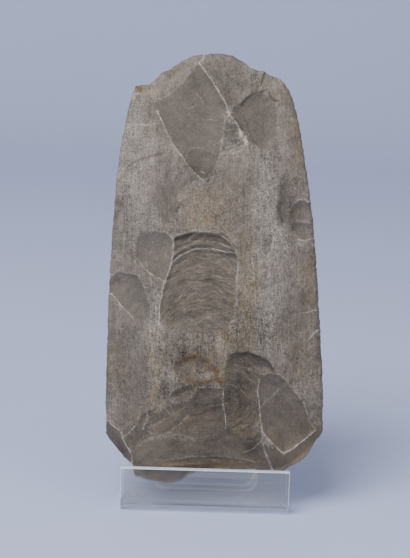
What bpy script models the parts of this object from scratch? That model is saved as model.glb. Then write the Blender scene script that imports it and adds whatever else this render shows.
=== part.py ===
# A ground and flaked stone hand axe, held up by a small easel of clear bent sheet.
# Metres, +Z up. The worked face looks to -Y, the butt is at the top, the cutting edge is down.
import math

import bmesh
import bpy
import numpy as np

# Axe sizes
AXE_LENGTH = 0.150
AXE_WIDTH = 0.0751
AXE_THICKNESS = 0.0268
SIDE_THICKNESS = 0.0175
BUTT_THICKNESS = 0.0100
EDGE_THICKNESS = 0.0030
SIDE_ROUNDING = 0.0015
EDGE_ROUNDING = 0.0006
EDGE_SHARE = 0.08
EDGE_BOW = 0.0007
LEAST_STONE = 0.0016
LEAN_DEG = 13.0
TURN_DEG = 1.7
TIP_RISE = 0.0089

# Easel sizes
LIP_WIDTH = 0.0584
PLATE_WIDTH = 0.0552
SHEET = 0.0025
LIP_HEIGHT = 0.0156
PLATE_HEIGHT = 0.0660
BEND_RADIUS = 0.0030
TOP_BEND_RADIUS = 0.0045
LEG_ANGLE_DEG = 24.0
WINDOW_WIDTH = 0.0336
WINDOW_SILL = 0.0044
WINDOW_MARGIN = 0.0140
WINDOW_CORNER = 0.0040
FIT_GAP = 0.0003
EASEL_OFFSET = -0.0030

# Outline of the axe seen from the front: percent of the half width from the
# centre line, percent of the length above the lowest point.
LEFT_SIDE = (
    (-99.8, 11.6), (-100, 19.3), (-99.5, 26.2), (-98.8, 33.2), (-97.9, 40.2), (-96.5, 47.2),
    (-94.8, 54.1), (-93, 61.1), (-90.9, 68.1), (-88.3, 75), (-83.2, 82), (-77.2, 88.7),
    (-72.9, 92.2),
)
RIGHT_SIDE = (
    (101.6, 12.3), (101.6, 19.3), (101, 26.2), (99.8, 33.2), (97.9, 40.2), (96.3, 47.2),
    (94.5, 54.1), (92.1, 61.1), (88.9, 68.1), (84.8, 75), (80.3, 82), (74.2, 88.7), (69.6, 91.8),
)
BUTT = (
    (-72.9, 92.2), (-68.2, 92.5), (-58.9, 92.9), (-53.4, 94.1), (-46.9, 95.5), (-39.4, 96.4),
    (-31.1, 97.7), (-24.6, 98.7), (-17.2, 99.3), (-9.7, 99.7), (-0.5, 99.7), (10.7, 99.7),
    (19, 99.1), (28.3, 97.8), (34.8, 96.4), (45, 95.8), (54.3, 94.7), (64.5, 93.3), (69.6, 91.8),
)
CUTTING_EDGE = (
    (-99.8, 11.6), (-96.1, 10), (-91.4, 8.4), (-84.9, 6.5), (-78.4, 5), (-74.7, 3.9), (-73.3, 2.3),
    (-67.3, 1.4), (-55.2, 0.5), (-44.1, 0), (-32, 0.5), (-24.6, 1.6), (-18.1, 2.4), (-8.8, 2.9),
    (10.7, 3.1), (33.9, 3.1), (47.8, 2.7), (56.1, 2.3), (62.6, 2.6), (65.9, 3), (69.1, 3.7),
    (74.7, 4.3), (81.2, 5.2), (86.8, 6.5), (91.9, 8.4), (94.7, 9.9), (99.8, 11.3), (101.6, 12.3),
)

# Flake scars: depth and slope width in mm, how the depth grows across and upward,
# then the outline in the same percents.
FRONT_SCARS = {
    "butt_flake": (2.3, 9, (0.4, -0.35), (
        (-52.4, 87.8), (-38.5, 89.9), (-27.4, 92.7), (-13.5, 96.9), (-7.9, 95.5), (-0.5, 92.7),
        (6, 89.7), (12.5, 86.6), (14.4, 85), (10.7, 82.7), (7.9, 79.2), (5.1, 75.7), (1.4, 73.2),
        (-4.2, 71.1), (-9.7, 69.9), (-15.3, 70.8), (-24.6, 73.2), (-38.5, 78.5), (-48.7, 84.3),
    )),
    "butt_facet": (0.6, 5, (-0.3, -0.3), (
        (-11.6, 96.9), (1.4, 98.3), (17.2, 97.8), (29.2, 95.5), (33.9, 92.7), (27.4, 89),
        (20.9, 87.1), (14.4, 85), (12.5, 86.6), (6, 89.7), (-0.5, 92.7), (-7.9, 95.5),
    )),
    "butt_oval": (1.5, 5, (0.1, 0.4), (
        (14.4, 85), (20.9, 87.1), (27.4, 88.7), (35.7, 89.9), (45, 90.4), (53.4, 89), (58, 86.2),
        (58.9, 82.5), (54.3, 79.2), (45.9, 76.9), (37.6, 77.6), (31.1, 79), (24.6, 81.1),
        (19, 83.6),
    )),
    "crushed_facet": (0.8, 3, (0, 0), (
        (14.4, 85), (19, 83.6), (24.6, 81.1), (23.7, 79.4), (8.8, 79.7), (7.9, 82),
    )),
    "lined_facet": (0.6, 3, (0, 0), (
        (8.8, 79.7), (23.7, 79.4), (31.1, 78.3), (27.4, 76.9), (13.5, 75.7), (7, 76.7),
    )),
    "shoulder_facet": (0.35, 4, (0, 0), (
        (-79.4, 82.9), (-77.5, 85.2), (-73.8, 87.8), (-69.1, 89.9), (-58.9, 89), (-53.4, 87.3),
        (-51.5, 83.4), (-68.2, 82.5),
    )),
    "right_patch": (0.5, 3, (0, 0), (
        (60.8, 70.4), (65.4, 71.1), (69.1, 69.5), (68.2, 66.2), (67.3, 64.3), (68.2, 60.6),
        (60.8, 59.7), (57.1, 62.5), (58, 66.7),
    )),
    "right_upper": (1, 4.5, (0.3, 0.2), (
        (68.2, 63), (71, 64.3), (77.5, 65.3), (84, 65.5), (90.5, 64.8), (95.1, 63), (95.1, 60.9),
        (69.1, 60.9),
    )),
    "right_lower": (0.9, 4, (0.3, 0.2), (
        (69.1, 60.4), (95.1, 60.4), (95.1, 56.9), (84.9, 56), (76.6, 56.4), (70.1, 58.3),
    )),
    "right_drop": (0.25, 2, (0, 0), (
        (46.9, 56.4), (52.4, 56.4), (55.2, 54.1), (52.4, 52.3), (47.8, 52.5), (45, 54.4),
    )),
    "right_chip": (0.6, 2.5, (0.5, 0), (
        (91.4, 37.4), (103.5, 38.8), (105.3, 34.6), (93.3, 34.6),
    )),
    "middle_flake": (2.1, 8, (0.1, 0.8), (
        (-36.7, 56.4), (-33.9, 57.4), (-23.7, 58.1), (-7.9, 58.2), (7.9, 57.8), (14.4, 56.7),
        (20, 54.6), (23.7, 52), (20.9, 49.9), (20, 48.3), (19, 46), (20.9, 43.4), (20, 40.7),
        (17.2, 38.3), (13.5, 36), (-12.5, 34.8), (-40.4, 35.1), (-47.8, 36.7), (-49.7, 39.7),
        (-48.7, 42.5), (-45, 46.2), (-40.4, 49.9), (-36.7, 52.7),
    )),
    "middle_step": (0.8, 1.6, (0, 1), (
        (-36.7, 51.3), (-29.2, 53), (-21.8, 53.9), (-10.7, 54.4), (1.4, 54.1), (11.6, 53.7),
        (20.9, 53), (23.7, 51.3), (20, 48.3), (19, 44.8), (20, 41.3), (14.4, 37.4), (-12.5, 36.2),
        (-40.4, 36.5), (-46.9, 38.3), (-47.8, 42.5), (-42.2, 48.1),
    )),
    "outer_step": (0.35, 1, (0, 0), (
        (-25.5, 57.8), (-21.8, 58.8), (-12.5, 59.1), (0.5, 59), (9.7, 58.1), (13.5, 56.9),
        (-7.9, 58.2), (-23.7, 58.1),
    )),
    "left_upper": (0.8, 4.5, (0.2, 0.3), (
        (-71, 56.4), (-67.3, 57.8), (-58.9, 58.1), (-49.7, 58.2), (-42.2, 57.8), (-36.7, 56.4),
        (-37.6, 53.7), (-39.4, 51.1), (-45, 46.7), (-54.3, 48.1), (-61.7, 49.5), (-71, 51.3),
        (-71.9, 54.1),
    )),
    "left_lower": (1.1, 5, (-0.5, 0.3), (
        (-97.9, 46.5), (-93.3, 48.1), (-85.8, 49.2), (-77.5, 48.8), (-67.3, 48.3), (-61.7, 45.3),
        (-57.1, 41.8), (-56.1, 38.8), (-63.6, 37.4), (-72.9, 38.3), (-84.9, 41.3), (-97, 44.1),
    )),
    "ripple_flake": (1.7, 6, (0, 0.4), (
        (9.7, 25.8), (11.6, 28.6), (16.2, 30.2), (27.4, 30.9), (36.7, 30.4), (45, 29.5),
        (52.4, 27.9), (58.9, 25.6), (50.6, 26.2), (43.2, 25.1), (40.8, 23.2), (40.4, 20.4),
        (43.2, 15.8), (45, 10.5), (32, 10), (10.7, 14.2), (9.3, 19.3), (8.4, 22.5),
    )),
    "leaf_flake": (1.7, 7, (0.3, -0.2), (
        (43.2, 25.1), (50.6, 26.2), (58.9, 25.6), (65.4, 24.4), (71.9, 22.5), (78.4, 20.4),
        (84, 17.7), (88.6, 14.6), (93.3, 12.3), (84.9, 10.5), (75.6, 8.8), (65.4, 7), (57.1, 8.8),
        (45, 12.3), (43.2, 15.8), (40.4, 20.4), (40.8, 23.2),
    )),
    "leaf_facet": (0.35, 3, (0, 0), (
        (45, 18.8), (50.6, 20.2), (58, 21.1), (67.3, 20.9), (74.7, 21.6), (67.3, 24.2),
        (58.9, 25.3), (50.6, 26), (43.2, 24.9), (40.8, 22.8), (41.3, 20.2),
    )),
    "edge_flake": (1.8, 9, (0, -0.5), (
        (-83.1, 10.7), (-73.8, 12.8), (-68.2, 13.7), (-61.7, 14.6), (-57.1, 17), (-49.7, 16.7),
        (-40.4, 18.8), (-29.2, 18.8), (-17.2, 20.2), (-13.5, 22.5), (7.9, 22.5), (9.3, 19.3),
        (10.7, 14.4), (32, 10), (45.5, 10.2), (48.7, 7.2), (52.4, 4.6), (54.3, 1.4), (45, -5.1),
        (-68.2, -6.3), (-73.8, -1.6), (-74.7, 3.7), (-75.2, 6.7), (-79.8, 8.8),
    )),
    "corner_nick": (0.7, 2.5, (0, 0), (
        (-79.4, 11.4), (-70.1, 13.7), (-65.4, 16.3), (-58.9, 17.4), (-52.4, 17.7), (-57.1, 16.7),
        (-59.9, 15.1), (-65.4, 13.2), (-71.9, 12.1),
    )),
    "lower_nick": (0.4, 2.5, (0, 0), (
        (-64.5, 13.2), (-58.9, 13.7), (-53.4, 12.5), (-57.1, 11.4), (-68.2, 11.4),
    )),
    "right_corner": (1.3, 6, (0.4, -0.3), (
        (45.9, 10), (51.5, 8.6), (57.1, 8.6), (65.4, 6.7), (75.6, 8.6), (84.9, 10.3), (93.3, 12.1),
        (112.8, 12.3), (108.1, -2.8), (54.3, -5.1), (54.3, 1.4), (52.4, 4.6), (48.7, 7.2),
    )),
    "left_corner": (1.3, 5, (-0.3, -0.4), (
        (-107.2, 16), (-98.4, 15.8), (-95.1, 13.9), (-87.7, 12.5), (-84.5, 11.1), (-79.8, 8.8),
        (-75.2, 6.7), (-74.7, 3.7), (-73.8, -2.1), (-110, -2.1),
    )),
    "small_dark": (0.5, 3, (0, 0.3), (
        (-42.7, 20.2), (-38.5, 21.4), (-31.1, 22.3), (-21.8, 23), (-15.3, 22.8), (-17.2, 21.1),
        (-27.4, 19.3), (-36.7, 19),
    )),
    "stain_hollow": (0.5, 4, (0, 0), (
        (-31.1, 26.7), (-25.5, 29.3), (-12.5, 30.2), (0.5, 29.3), (7.9, 26.7), (0.5, 24.2),
        (-12.5, 23), (-25.5, 24.2),
    )),
}

BACK_SCARS = {
    "butt_flake": (1.6, 8, (0, 0.4), (
        (-30, 101), (-44, 92), (-38, 80), (-14, 73), (10, 78), (22, 90), (8, 103),
    )),
    "left_flake": (1.5, 8, (-0.5, 0), (
        (-108, 62), (-76, 66), (-46, 58), (-40, 46), (-62, 37), (-108, 40),
    )),
    "right_flake": (1.3, 7, (0.5, 0), (
        (108, 78), (72, 76), (52, 66), (58, 55), (82, 51), (110, 54),
    )),
    "edge_left": (1.7, 9, (-0.3, -0.5), (
        (-112, 22), (-70, 27), (-34, 21), (-20, 8), (-26, -6), (-112, -6),
    )),
    "edge_middle": (1.5, 8, (0, -0.5), (
        (-20, 8), (-30, 20), (-4, 30), (30, 24), (40, 8), (34, -6), (-26, -6),
    )),
    "edge_right": (1.6, 8, (0.3, -0.5), (
        (40, 8), (34, 22), (66, 29), (112, 24), (112, -6), (34, -6),
    )),
}

# Share of the full swell of the face at stations from the cutting edge to the butt.
MIDDLE_SWELL = (
    (0, 0), (0.02, 0.20), (0.06, 0.40), (0.12, 0.60), (0.22, 0.80), (0.35, 0.94), (0.50, 1),
    (0.65, 0.98), (0.80, 0.86), (0.90, 0.70), (0.96, 0.52),
    (1, (BUTT_THICKNESS - EDGE_THICKNESS) / (AXE_THICKNESS - EDGE_THICKNESS)),
)
SIDE_SWELL = (
    (0, 0), (0.04, 0.28), (0.12, 0.55), (0.25, 0.80), (0.45, 1), (0.70, 0.96), (0.90, 0.72),
    (1, (BUTT_THICKNESS - EDGE_THICKNESS) / (SIDE_THICKNESS - EDGE_THICKNESS)),
)

# Grid of the worked sheet before it is thinned to flat facets.
GRID_ACROSS = 110
GRID_ALONG = 200
WALL_STEPS = 8
AXE_FACETS = 8400


def smooth_curve(stations, position):
    """Smooth curve through (place, value) stations, read at any positions."""
    place = np.array([s[0] for s in stations], float)
    value = np.array([s[1] for s in stations], float)
    slope = np.gradient(value, place)
    position = np.clip(position, place[0], place[-1])
    i = np.clip(np.searchsorted(place, position, side="right") - 1, 0, len(place) - 2)
    step = place[i + 1] - place[i]
    f = (position - place[i]) / step
    h00 = 2 * f**3 - 3 * f**2 + 1
    h10 = f**3 - 2 * f**2 + f
    h01 = -2 * f**3 + 3 * f**2
    h11 = f**3 - f**2
    return h00 * value[i] + h10 * step * slope[i] + h01 * value[i + 1] + h11 * step * slope[i + 1]


def outline_line(points, count, weights):
    """One side of the outline in metres, spread evenly along the weighted run."""
    corners = np.array(points, float) / 100.0
    corners = corners * np.array([AXE_WIDTH / 2, AXE_LENGTH])
    steps = np.abs(np.diff(corners, axis=0)) @ np.array(weights)
    run = np.concatenate([[0], np.cumsum(steps)])
    at = np.linspace(0, run[-1], count + 1)
    x = smooth_curve(list(zip(run, corners[:, 0])), at)
    z = smooth_curve(list(zip(run, corners[:, 1])), at)
    return np.stack([x, z], axis=1)


def outline_loop():
    """Closed outline: cutting edge left to right, right side up, butt to the left, left side down."""
    across, along = (1.0, 0.1), (0.1, 1.0)
    bottom = outline_line(CUTTING_EDGE, GRID_ACROSS, across)
    right = outline_line(RIGHT_SIDE, GRID_ALONG, along)
    top = outline_line(BUTT, GRID_ACROSS, across)[::-1]
    left = outline_line(LEFT_SIDE, GRID_ALONG, along)[::-1]
    return np.concatenate([bottom[:-1], right[:-1], top[:-1], left[:-1]])


def loop_normals(loop):
    """Outward direction at each point of the outline."""
    along = np.roll(loop, -3, axis=0) - np.roll(loop, 3, axis=0)
    normal = np.stack([along[:, 1], -along[:, 0]], axis=1)
    return normal / np.linalg.norm(normal, axis=1)[:, None]


def rim_loop(loop):
    """The face's own border, set in from the outline by the rounding of the sides."""
    height = loop[:, 1] / AXE_LENGTH
    share = np.clip((height - EDGE_SHARE) / EDGE_SHARE, 0, 1)
    inset = EDGE_ROUNDING + (SIDE_ROUNDING - EDGE_ROUNDING) * share
    return loop - loop_normals(loop) * inset[:, None]


def patch(rim):
    """Points of a face, spread between its four borders."""
    across, along = GRID_ACROSS, GRID_ALONG
    bottom = rim[: across + 1]
    right = rim[across : across + along + 1]
    top = rim[across + along : 2 * across + along + 1][::-1]
    left = np.concatenate([rim[2 * across + along :], rim[:1]])[::-1]
    s = np.linspace(0, 1, across + 1)[:, None, None]
    t = np.linspace(0, 1, along + 1)[None, :, None]
    ruled = (1 - t) * bottom[:, None] + t * top[:, None] + (1 - s) * left[None] + s * right[None]
    corners = (1 - s) * (1 - t) * bottom[0] + s * (1 - t) * bottom[-1]
    corners = corners + (1 - s) * t * top[0] + s * t * top[-1]
    return ruled - corners


def inside_distance(points, corners):
    """Distance of points inside a closed outline to its border; zero outside."""
    inside = np.zeros(len(points), bool)
    nearest = np.full(len(points), 1e9)
    for a, b in zip(corners, np.roll(corners, -1, axis=0)):
        side = b - a
        f = np.clip(((points - a) @ side) / (side @ side), 0, 1)
        nearest = np.minimum(nearest, np.linalg.norm(points - a - f[:, None] * side, axis=1))
        crosses = (a[1] > points[:, 1]) != (b[1] > points[:, 1])
        rise = b[1] - a[1] if b[1] != a[1] else 1e-12
        inside ^= crosses & (points[:, 0] < a[0] + (points[:, 1] - a[1]) / rise * side[0])
    return np.where(inside, nearest, 0.0)


def scar_depth(points, scars):
    """Depth taken off a face by its flake scars, in metres."""
    size = np.array([AXE_WIDTH / 2, AXE_LENGTH]) / 100.0
    depth = np.zeros(len(points))
    for deep, slope, growth, corners in scars.values():
        corners = np.array(corners, float) * size
        distance = inside_distance(points, corners)
        bowl = 1 - (1 - np.minimum(distance / (slope / 1000), 1)) ** 2
        middle = (corners.min(axis=0) + corners.max(axis=0)) / 2
        reach = (corners.max(axis=0) - corners.min(axis=0)) / 2
        share = np.clip(1 + ((points - middle) / reach) @ np.array(growth, float), 0, 2)
        cut = deep / 1000 * bowl * share
        depth = np.maximum(depth, cut) + 0.25 * np.minimum(depth, cut)
    return depth


def evened(line, reach):
    """The line without its small steps, averaged over its neighbours."""
    for _ in range(2):
        wide = np.pad(line, reach, mode="edge")
        line = np.convolve(wide, np.ones(2 * reach + 1) / (2 * reach + 1), mode="valid")
    return line


def half_thickness(face):
    """Half thickness of the unflaked axe over the face."""
    s = np.linspace(0, 1, GRID_ACROSS + 1)[:, None]
    height = face[:, :, 1]
    foot = evened(height[:, 0], GRID_ACROSS // 14)[:, None]
    head = evened(height[:, -1], GRID_ACROSS // 14)[:, None]
    t = np.clip((height - foot) / (head - foot), 0, 1)
    edge = EDGE_THICKNESS / 2
    middle = edge + (AXE_THICKNESS / 2 - edge) * smooth_curve(MIDDLE_SWELL, t)
    side = edge + (SIDE_THICKNESS / 2 - edge) * smooth_curve(SIDE_SWELL, t)
    return side + (middle - side) * (1 - np.abs(2 * s - 1) ** 2.6)


def build_axe_mesh():
    """The axe upright, lowest point at the origin: vertex list and faces."""
    across, along = GRID_ACROSS, GRID_ALONG
    loop = outline_loop()
    rim = rim_loop(loop)
    face = patch(rim)
    flat = face.reshape(-1, 2)
    half = half_thickness(face).reshape(-1)
    spare = np.maximum(half - LEAST_STONE / 2, 1e-6)
    front_cut = spare * (1 - np.exp(-scar_depth(flat, FRONT_SCARS) / spare))
    back_cut = spare * (1 - np.exp(-scar_depth(flat, BACK_SCARS) / spare))
    low = np.clip(1 - flat[:, 1] / (2 * EDGE_SHARE * AXE_LENGTH), 0, 1)
    bow = EDGE_BOW * np.sin(flat[:, 0] / AXE_WIDTH * 9 + 1) * low
    front = np.stack([flat[:, 0], bow - half + front_cut, flat[:, 1]], axis=1)
    back = np.stack([flat[:, 0], bow + half - back_cut, flat[:, 1]], axis=1)
    count = (across + 1) * (along + 1)

    def index(i, j):
        return i * (along + 1) + j

    border = [index(i, 0) for i in range(across)]
    border += [index(across, j) for j in range(along)]
    border += [index(i, along) for i in range(across, 0, -1)]
    border += [index(0, j) for j in range(along, 0, -1)]
    verts = [front, back]
    out = loop - rim
    rings = []
    for k in range(1, WALL_STEPS):
        turn = math.pi * k / WALL_STEPS
        swell = math.sin(turn) ** 0.7
        shift = (1 - math.copysign(abs(math.cos(turn)) ** 0.7, math.cos(turn))) / 2
        ring = front[border] + (back[border] - front[border]) * shift
        ring[:, 0] += out[:, 0] * swell
        ring[:, 2] += out[:, 1] * swell
        rings.append(range(2 * count + (k - 1) * len(border), 2 * count + k * len(border)))
        verts.append(ring)
    faces = []
    for i in range(across):
        for j in range(along):
            quad = (index(i, j), index(i + 1, j), index(i + 1, j + 1), index(i, j + 1))
            faces.append(quad)
            faces.append(tuple(count + q for q in quad[::-1]))
    chain = [border] + rings + [[count + b for b in border]]
    n = len(border)
    for near, far in zip(chain[:-1], chain[1:]):
        for k in range(n):
            faces.append((near[k], far[k], far[(k + 1) % n], near[(k + 1) % n]))
    return np.concatenate(verts), faces


def make_object(name, verts, faces, colour, roughness, alpha=1.0):
    mesh = bpy.data.meshes.new(name)
    mesh.from_pydata([tuple(v) for v in verts], [], faces)
    mesh.validate()
    part = bpy.data.objects.new(name, mesh)
    bpy.context.scene.collection.objects.link(part)
    skin = bpy.data.materials.new(name + "_material")
    skin.use_nodes = True
    surface = skin.node_tree.nodes["Principled BSDF"]
    surface.inputs["Base Color"].default_value = (*colour, 1)
    surface.inputs["Roughness"].default_value = roughness
    surface.inputs["Alpha"].default_value = alpha
    mesh.materials.append(skin)
    return part


def use_modifier(part, kind, **settings):
    modifier = part.modifiers.new(kind, kind)
    for key, value in settings.items():
        setattr(modifier, key, value)
    bpy.context.view_layer.objects.active = part
    bpy.ops.object.modifier_apply(modifier=modifier.name)


def outward(part):
    work = bmesh.new()
    work.from_mesh(part.data)
    bmesh.ops.recalc_face_normals(work, faces=work.faces)
    work.to_mesh(part.data)
    work.free()


def vertices_of(part):
    points = np.empty(len(part.data.vertices) * 3)
    part.data.vertices.foreach_get("co", points)
    return points.reshape(-1, 3)


def move_vertices(part, points):
    part.data.vertices.foreach_set("co", points.reshape(-1))
    part.data.update()


def build_axe():
    verts, faces = build_axe_mesh()
    axe = make_object("axe", verts, faces, (0.20, 0.175, 0.155), 0.62)
    outward(axe)
    axe.data.update()
    ratio = AXE_FACETS / (2 * len(axe.data.polygons))
    use_modifier(axe, "DECIMATE", ratio=ratio, use_collapse_triangulate=True)
    lean = math.radians(LEAN_DEG)
    turn = math.radians(TURN_DEG)
    upright = vertices_of(axe)
    local = upright.copy()
    local[:, 0] = upright[:, 0] * math.cos(turn) - upright[:, 2] * math.sin(turn)
    local[:, 2] = upright[:, 2] * math.cos(turn) + upright[:, 0] * math.sin(turn)
    world = local.copy()
    world[:, 1] = local[:, 1] * math.cos(lean) + local[:, 2] * math.sin(lean)
    world[:, 2] = local[:, 2] * math.cos(lean) - local[:, 1] * math.sin(lean)
    rise = TIP_RISE - world[:, 2].min()
    world[:, 2] += rise
    move_vertices(axe, world)
    axe.data.set_sharp_from_angle(angle=math.radians(28))
    return axe, local, rise


def front_at_lip(axe):
    """Foremost reach of the axe at or below the top of the lip."""
    points = vertices_of(axe)
    reach = points[points[:, 2] <= LIP_HEIGHT][:, 1].min()
    for edge in axe.data.edges:
        a, b = points[edge.vertices[0]], points[edge.vertices[1]]
        if (a[2] - LIP_HEIGHT) * (b[2] - LIP_HEIGHT) < 0:
            f = (LIP_HEIGHT - a[2]) / (b[2] - a[2])
            reach = min(reach, a[1] + f * (b[1] - a[1]))
    return reach


def fillet(path, radii, steps=8):
    """Centre line with its corners turned into arcs; gives points and place along the corners."""
    points = [np.array(path[0])]
    place = [0.0]
    for i in range(1, len(path) - 1):
        corner = np.array(path[i])
        back = np.array(path[i - 1]) - corner
        ahead = np.array(path[i + 1]) - corner
        back /= np.linalg.norm(back)
        ahead /= np.linalg.norm(ahead)
        half = math.acos(np.clip(back @ ahead, -1, 1)) / 2
        reach = radii[i - 1] / math.tan(half)
        middle = back + ahead
        centre = corner + middle / np.linalg.norm(middle) * radii[i - 1] / math.sin(half)
        start = corner + back * reach - centre
        sweep = math.pi - 2 * half
        turn = 1 if start[0] * back[1] - start[1] * back[0] < 0 else -1
        for k in range(steps + 1):
            angle = turn * sweep * k / steps
            c, s = math.cos(angle), math.sin(angle)
            points.append(centre + np.array([c * start[0] - s * start[1], s * start[0] + c * start[1]]))
            place.append(i - 0.01 + 0.02 * k / steps)
    points.append(np.array(path[-1]))
    place.append(len(path) - 1.0)
    return np.array(points), np.array(place)


def bent_sheet(name, path, radii, widths):
    """Sheet of even thickness bent along a side-view path; widths are given at the corners."""
    line, place = fillet(path, radii)
    along = np.gradient(line, axis=0)
    along[0] = line[1] - line[0]
    along[-1] = line[-1] - line[-2]
    along /= np.linalg.norm(along, axis=1)[:, None]
    normal = np.stack([-along[:, 1], along[:, 0]], axis=1)
    half = np.interp(place, range(len(widths)), widths) / 2
    sides = [line + normal * SHEET / 2, line - normal * SHEET / 2]
    for side in sides:
        f = side[-1, 1] / along[-1, 1]
        side[-1] -= along[-1] * f
    verts = []
    for i in range(len(line)):
        for x, side in ((-1, 0), (1, 0), (1, 1), (-1, 1)):
            y, z = sides[side][i]
            verts.append((x * half[i], y, z))
    faces = [(0, 1, 2, 3)]
    for i in range(len(line) - 1):
        for k in range(4):
            m = (k + 1) % 4
            faces.append((4 * i + k, 4 * i + m, 4 * i + 4 + m, 4 * i + 4 + k))
    last = 4 * (len(line) - 1)
    faces.append((last + 3, last + 2, last + 1, last))
    sheet = make_object(name, verts, faces, (0.80, 0.86, 0.90), 0.06, 0.35)
    outward(sheet)
    return sheet


def window_cutter(foot, lean, top):
    """Rounded block that opens the easel's back plate."""
    low = (WINDOW_SILL - foot[1]) / math.cos(lean)
    high = (top - WINDOW_MARGIN - foot[1]) / math.cos(lean)
    corners = []
    for cx, cz, start in ((1, 1, 0), (-1, 1, 90), (-1, -1, 180), (1, -1, 270)):
        mx = cx * (WINDOW_WIDTH / 2 - WINDOW_CORNER)
        mz = (high if cz > 0 else low) - cz * WINDOW_CORNER
        for k in range(7):
            a = math.radians(start + 15 * k)
            corners.append((mx + WINDOW_CORNER * math.cos(a), mz + WINDOW_CORNER * math.sin(a)))
    verts = []
    for depth in (-1.5 * SHEET, 1.5 * SHEET):
        for x, z in corners:
            y = foot[0] + z * math.sin(lean) + depth * math.cos(lean)
            verts.append((x, y, foot[1] + z * math.cos(lean) - depth * math.sin(lean)))
    n = len(corners)
    faces = [tuple(range(n)), tuple(range(2 * n - 1, n - 1, -1))]
    faces += [(k, k + n, (k + 1) % n + n, (k + 1) % n) for k in range(n)]
    cutter = make_object("window", verts, faces, (0.5, 0.5, 0.5), 0.5)
    outward(cutter)
    return cutter


def build_easel(axe, local, rise):
    lean = math.radians(LEAN_DEG)
    lip = front_at_lip(axe) - FIT_GAP - SHEET / 2
    reach = PLATE_HEIGHT / math.cos(lean)
    behind = local[local[:, 2] <= reach][:, 1].max() + FIT_GAP + SHEET / 2

    def plate_at(height):
        run = (height - rise + behind * math.sin(lean)) / math.cos(lean)
        return np.array([behind * math.cos(lean) + run * math.sin(lean), height])

    foot = plate_at(SHEET / 2)
    top = plate_at(PLATE_HEIGHT)
    leg = top + np.array([PLATE_HEIGHT * math.tan(math.radians(LEG_ANGLE_DEG)), -PLATE_HEIGHT])
    path = [(lip, LIP_HEIGHT), (lip, SHEET / 2), foot, top, leg]
    widths = (LIP_WIDTH, LIP_WIDTH, PLATE_WIDTH, PLATE_WIDTH, PLATE_WIDTH)
    radii = (BEND_RADIUS, BEND_RADIUS, TOP_BEND_RADIUS)
    easel = bent_sheet("easel", path, radii, widths)
    cutter = window_cutter(foot, lean, PLATE_HEIGHT)
    use_modifier(easel, "BOOLEAN", operation="DIFFERENCE", solver="EXACT", object=cutter)
    bpy.data.objects.remove(cutter)
    move_vertices(easel, vertices_of(easel) + np.array([EASEL_OFFSET, 0, 0]))
    easel.data.set_sharp_from_angle(angle=math.radians(28))
    return easel


def centre_on_origin(parts):
    """Middle of the whole box over the origin, feet on the ground."""
    every = np.concatenate([vertices_of(part) for part in parts])
    low, high = every.min(axis=0), every.max(axis=0)
    shift = np.array([(low[0] + high[0]) / 2, (low[1] + high[1]) / 2, low[2]])
    for part in parts:
        move_vertices(part, vertices_of(part) - shift)


for old in list(bpy.data.objects):
    bpy.data.objects.remove(old)

axe, local, rise = build_axe()
easel = build_easel(axe, local, rise)
centre_on_origin([axe, easel])
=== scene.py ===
import math

import bmesh
import bpy
import numpy as np
from mathutils import Matrix, Vector


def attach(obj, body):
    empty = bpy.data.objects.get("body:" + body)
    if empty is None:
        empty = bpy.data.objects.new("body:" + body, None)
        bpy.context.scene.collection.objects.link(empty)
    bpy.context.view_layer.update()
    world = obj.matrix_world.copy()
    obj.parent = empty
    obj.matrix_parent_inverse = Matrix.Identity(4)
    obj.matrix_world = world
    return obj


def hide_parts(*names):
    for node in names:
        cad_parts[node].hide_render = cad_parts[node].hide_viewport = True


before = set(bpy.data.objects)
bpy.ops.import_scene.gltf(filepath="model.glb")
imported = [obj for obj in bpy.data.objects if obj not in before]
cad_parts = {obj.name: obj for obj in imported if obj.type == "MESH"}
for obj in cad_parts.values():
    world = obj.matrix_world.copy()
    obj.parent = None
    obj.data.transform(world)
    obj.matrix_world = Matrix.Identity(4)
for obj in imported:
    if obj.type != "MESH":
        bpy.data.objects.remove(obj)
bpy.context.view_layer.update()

# Axe sizes
AXE_LENGTH = 0.150
AXE_WIDTH = 0.0751
AXE_THICKNESS = 0.0268
SIDE_THICKNESS = 0.0175
BUTT_THICKNESS = 0.0100
EDGE_THICKNESS = 0.0030
SIDE_ROUNDING = 0.0015
EDGE_ROUNDING = 0.0006
EDGE_SHARE = 0.08
EDGE_BOW = 0.0007
LEAST_STONE = 0.0016
LEAN_DEG = 13.0
TURN_DEG = 1.7

# Easel sizes
LIP_WIDTH = 0.0584
PLATE_WIDTH = 0.0552
SHEET = 0.0025
LIP_HEIGHT = 0.0156
PLATE_HEIGHT = 0.0660
BEND_RADIUS = 0.0030
TOP_BEND_RADIUS = 0.0045
LEG_ANGLE_DEG = 24.0
WINDOW_WIDTH = 0.0336
WINDOW_SILL = 0.0044
WINDOW_MARGIN = 0.0140
WINDOW_CORNER = 0.0040

# View: photographed height and distance in metres, the picture's size in pixels, the sensor's in mm.
VIEW_HEIGHT = 0.19441
VIEW_DISTANCE = 0.600
PICTURE = (410, 558)
SENSOR_HEIGHT = 24

# Where the picture shows the axe's centre line and its lowest point, in pixels.
AXE_FOOT = (213.5, 483)
MM_PER_PIXEL = VIEW_HEIGHT * 1000 / PICTURE[1]

# Colours as seen, 0 to 255
GROUND_STONE = (105, 96, 88)
SCARRED_STONE = (90, 82, 74)
TAN_STONE = (107, 91, 66)
PALE_STONE = (157, 150, 139)
RIDGE_STONE = (168, 161, 148)
RUST_STONE = (112, 74, 42)
BURNT_STONE = (66, 52, 40)
SWEEP_COLOUR = (184, 193, 224)

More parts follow.
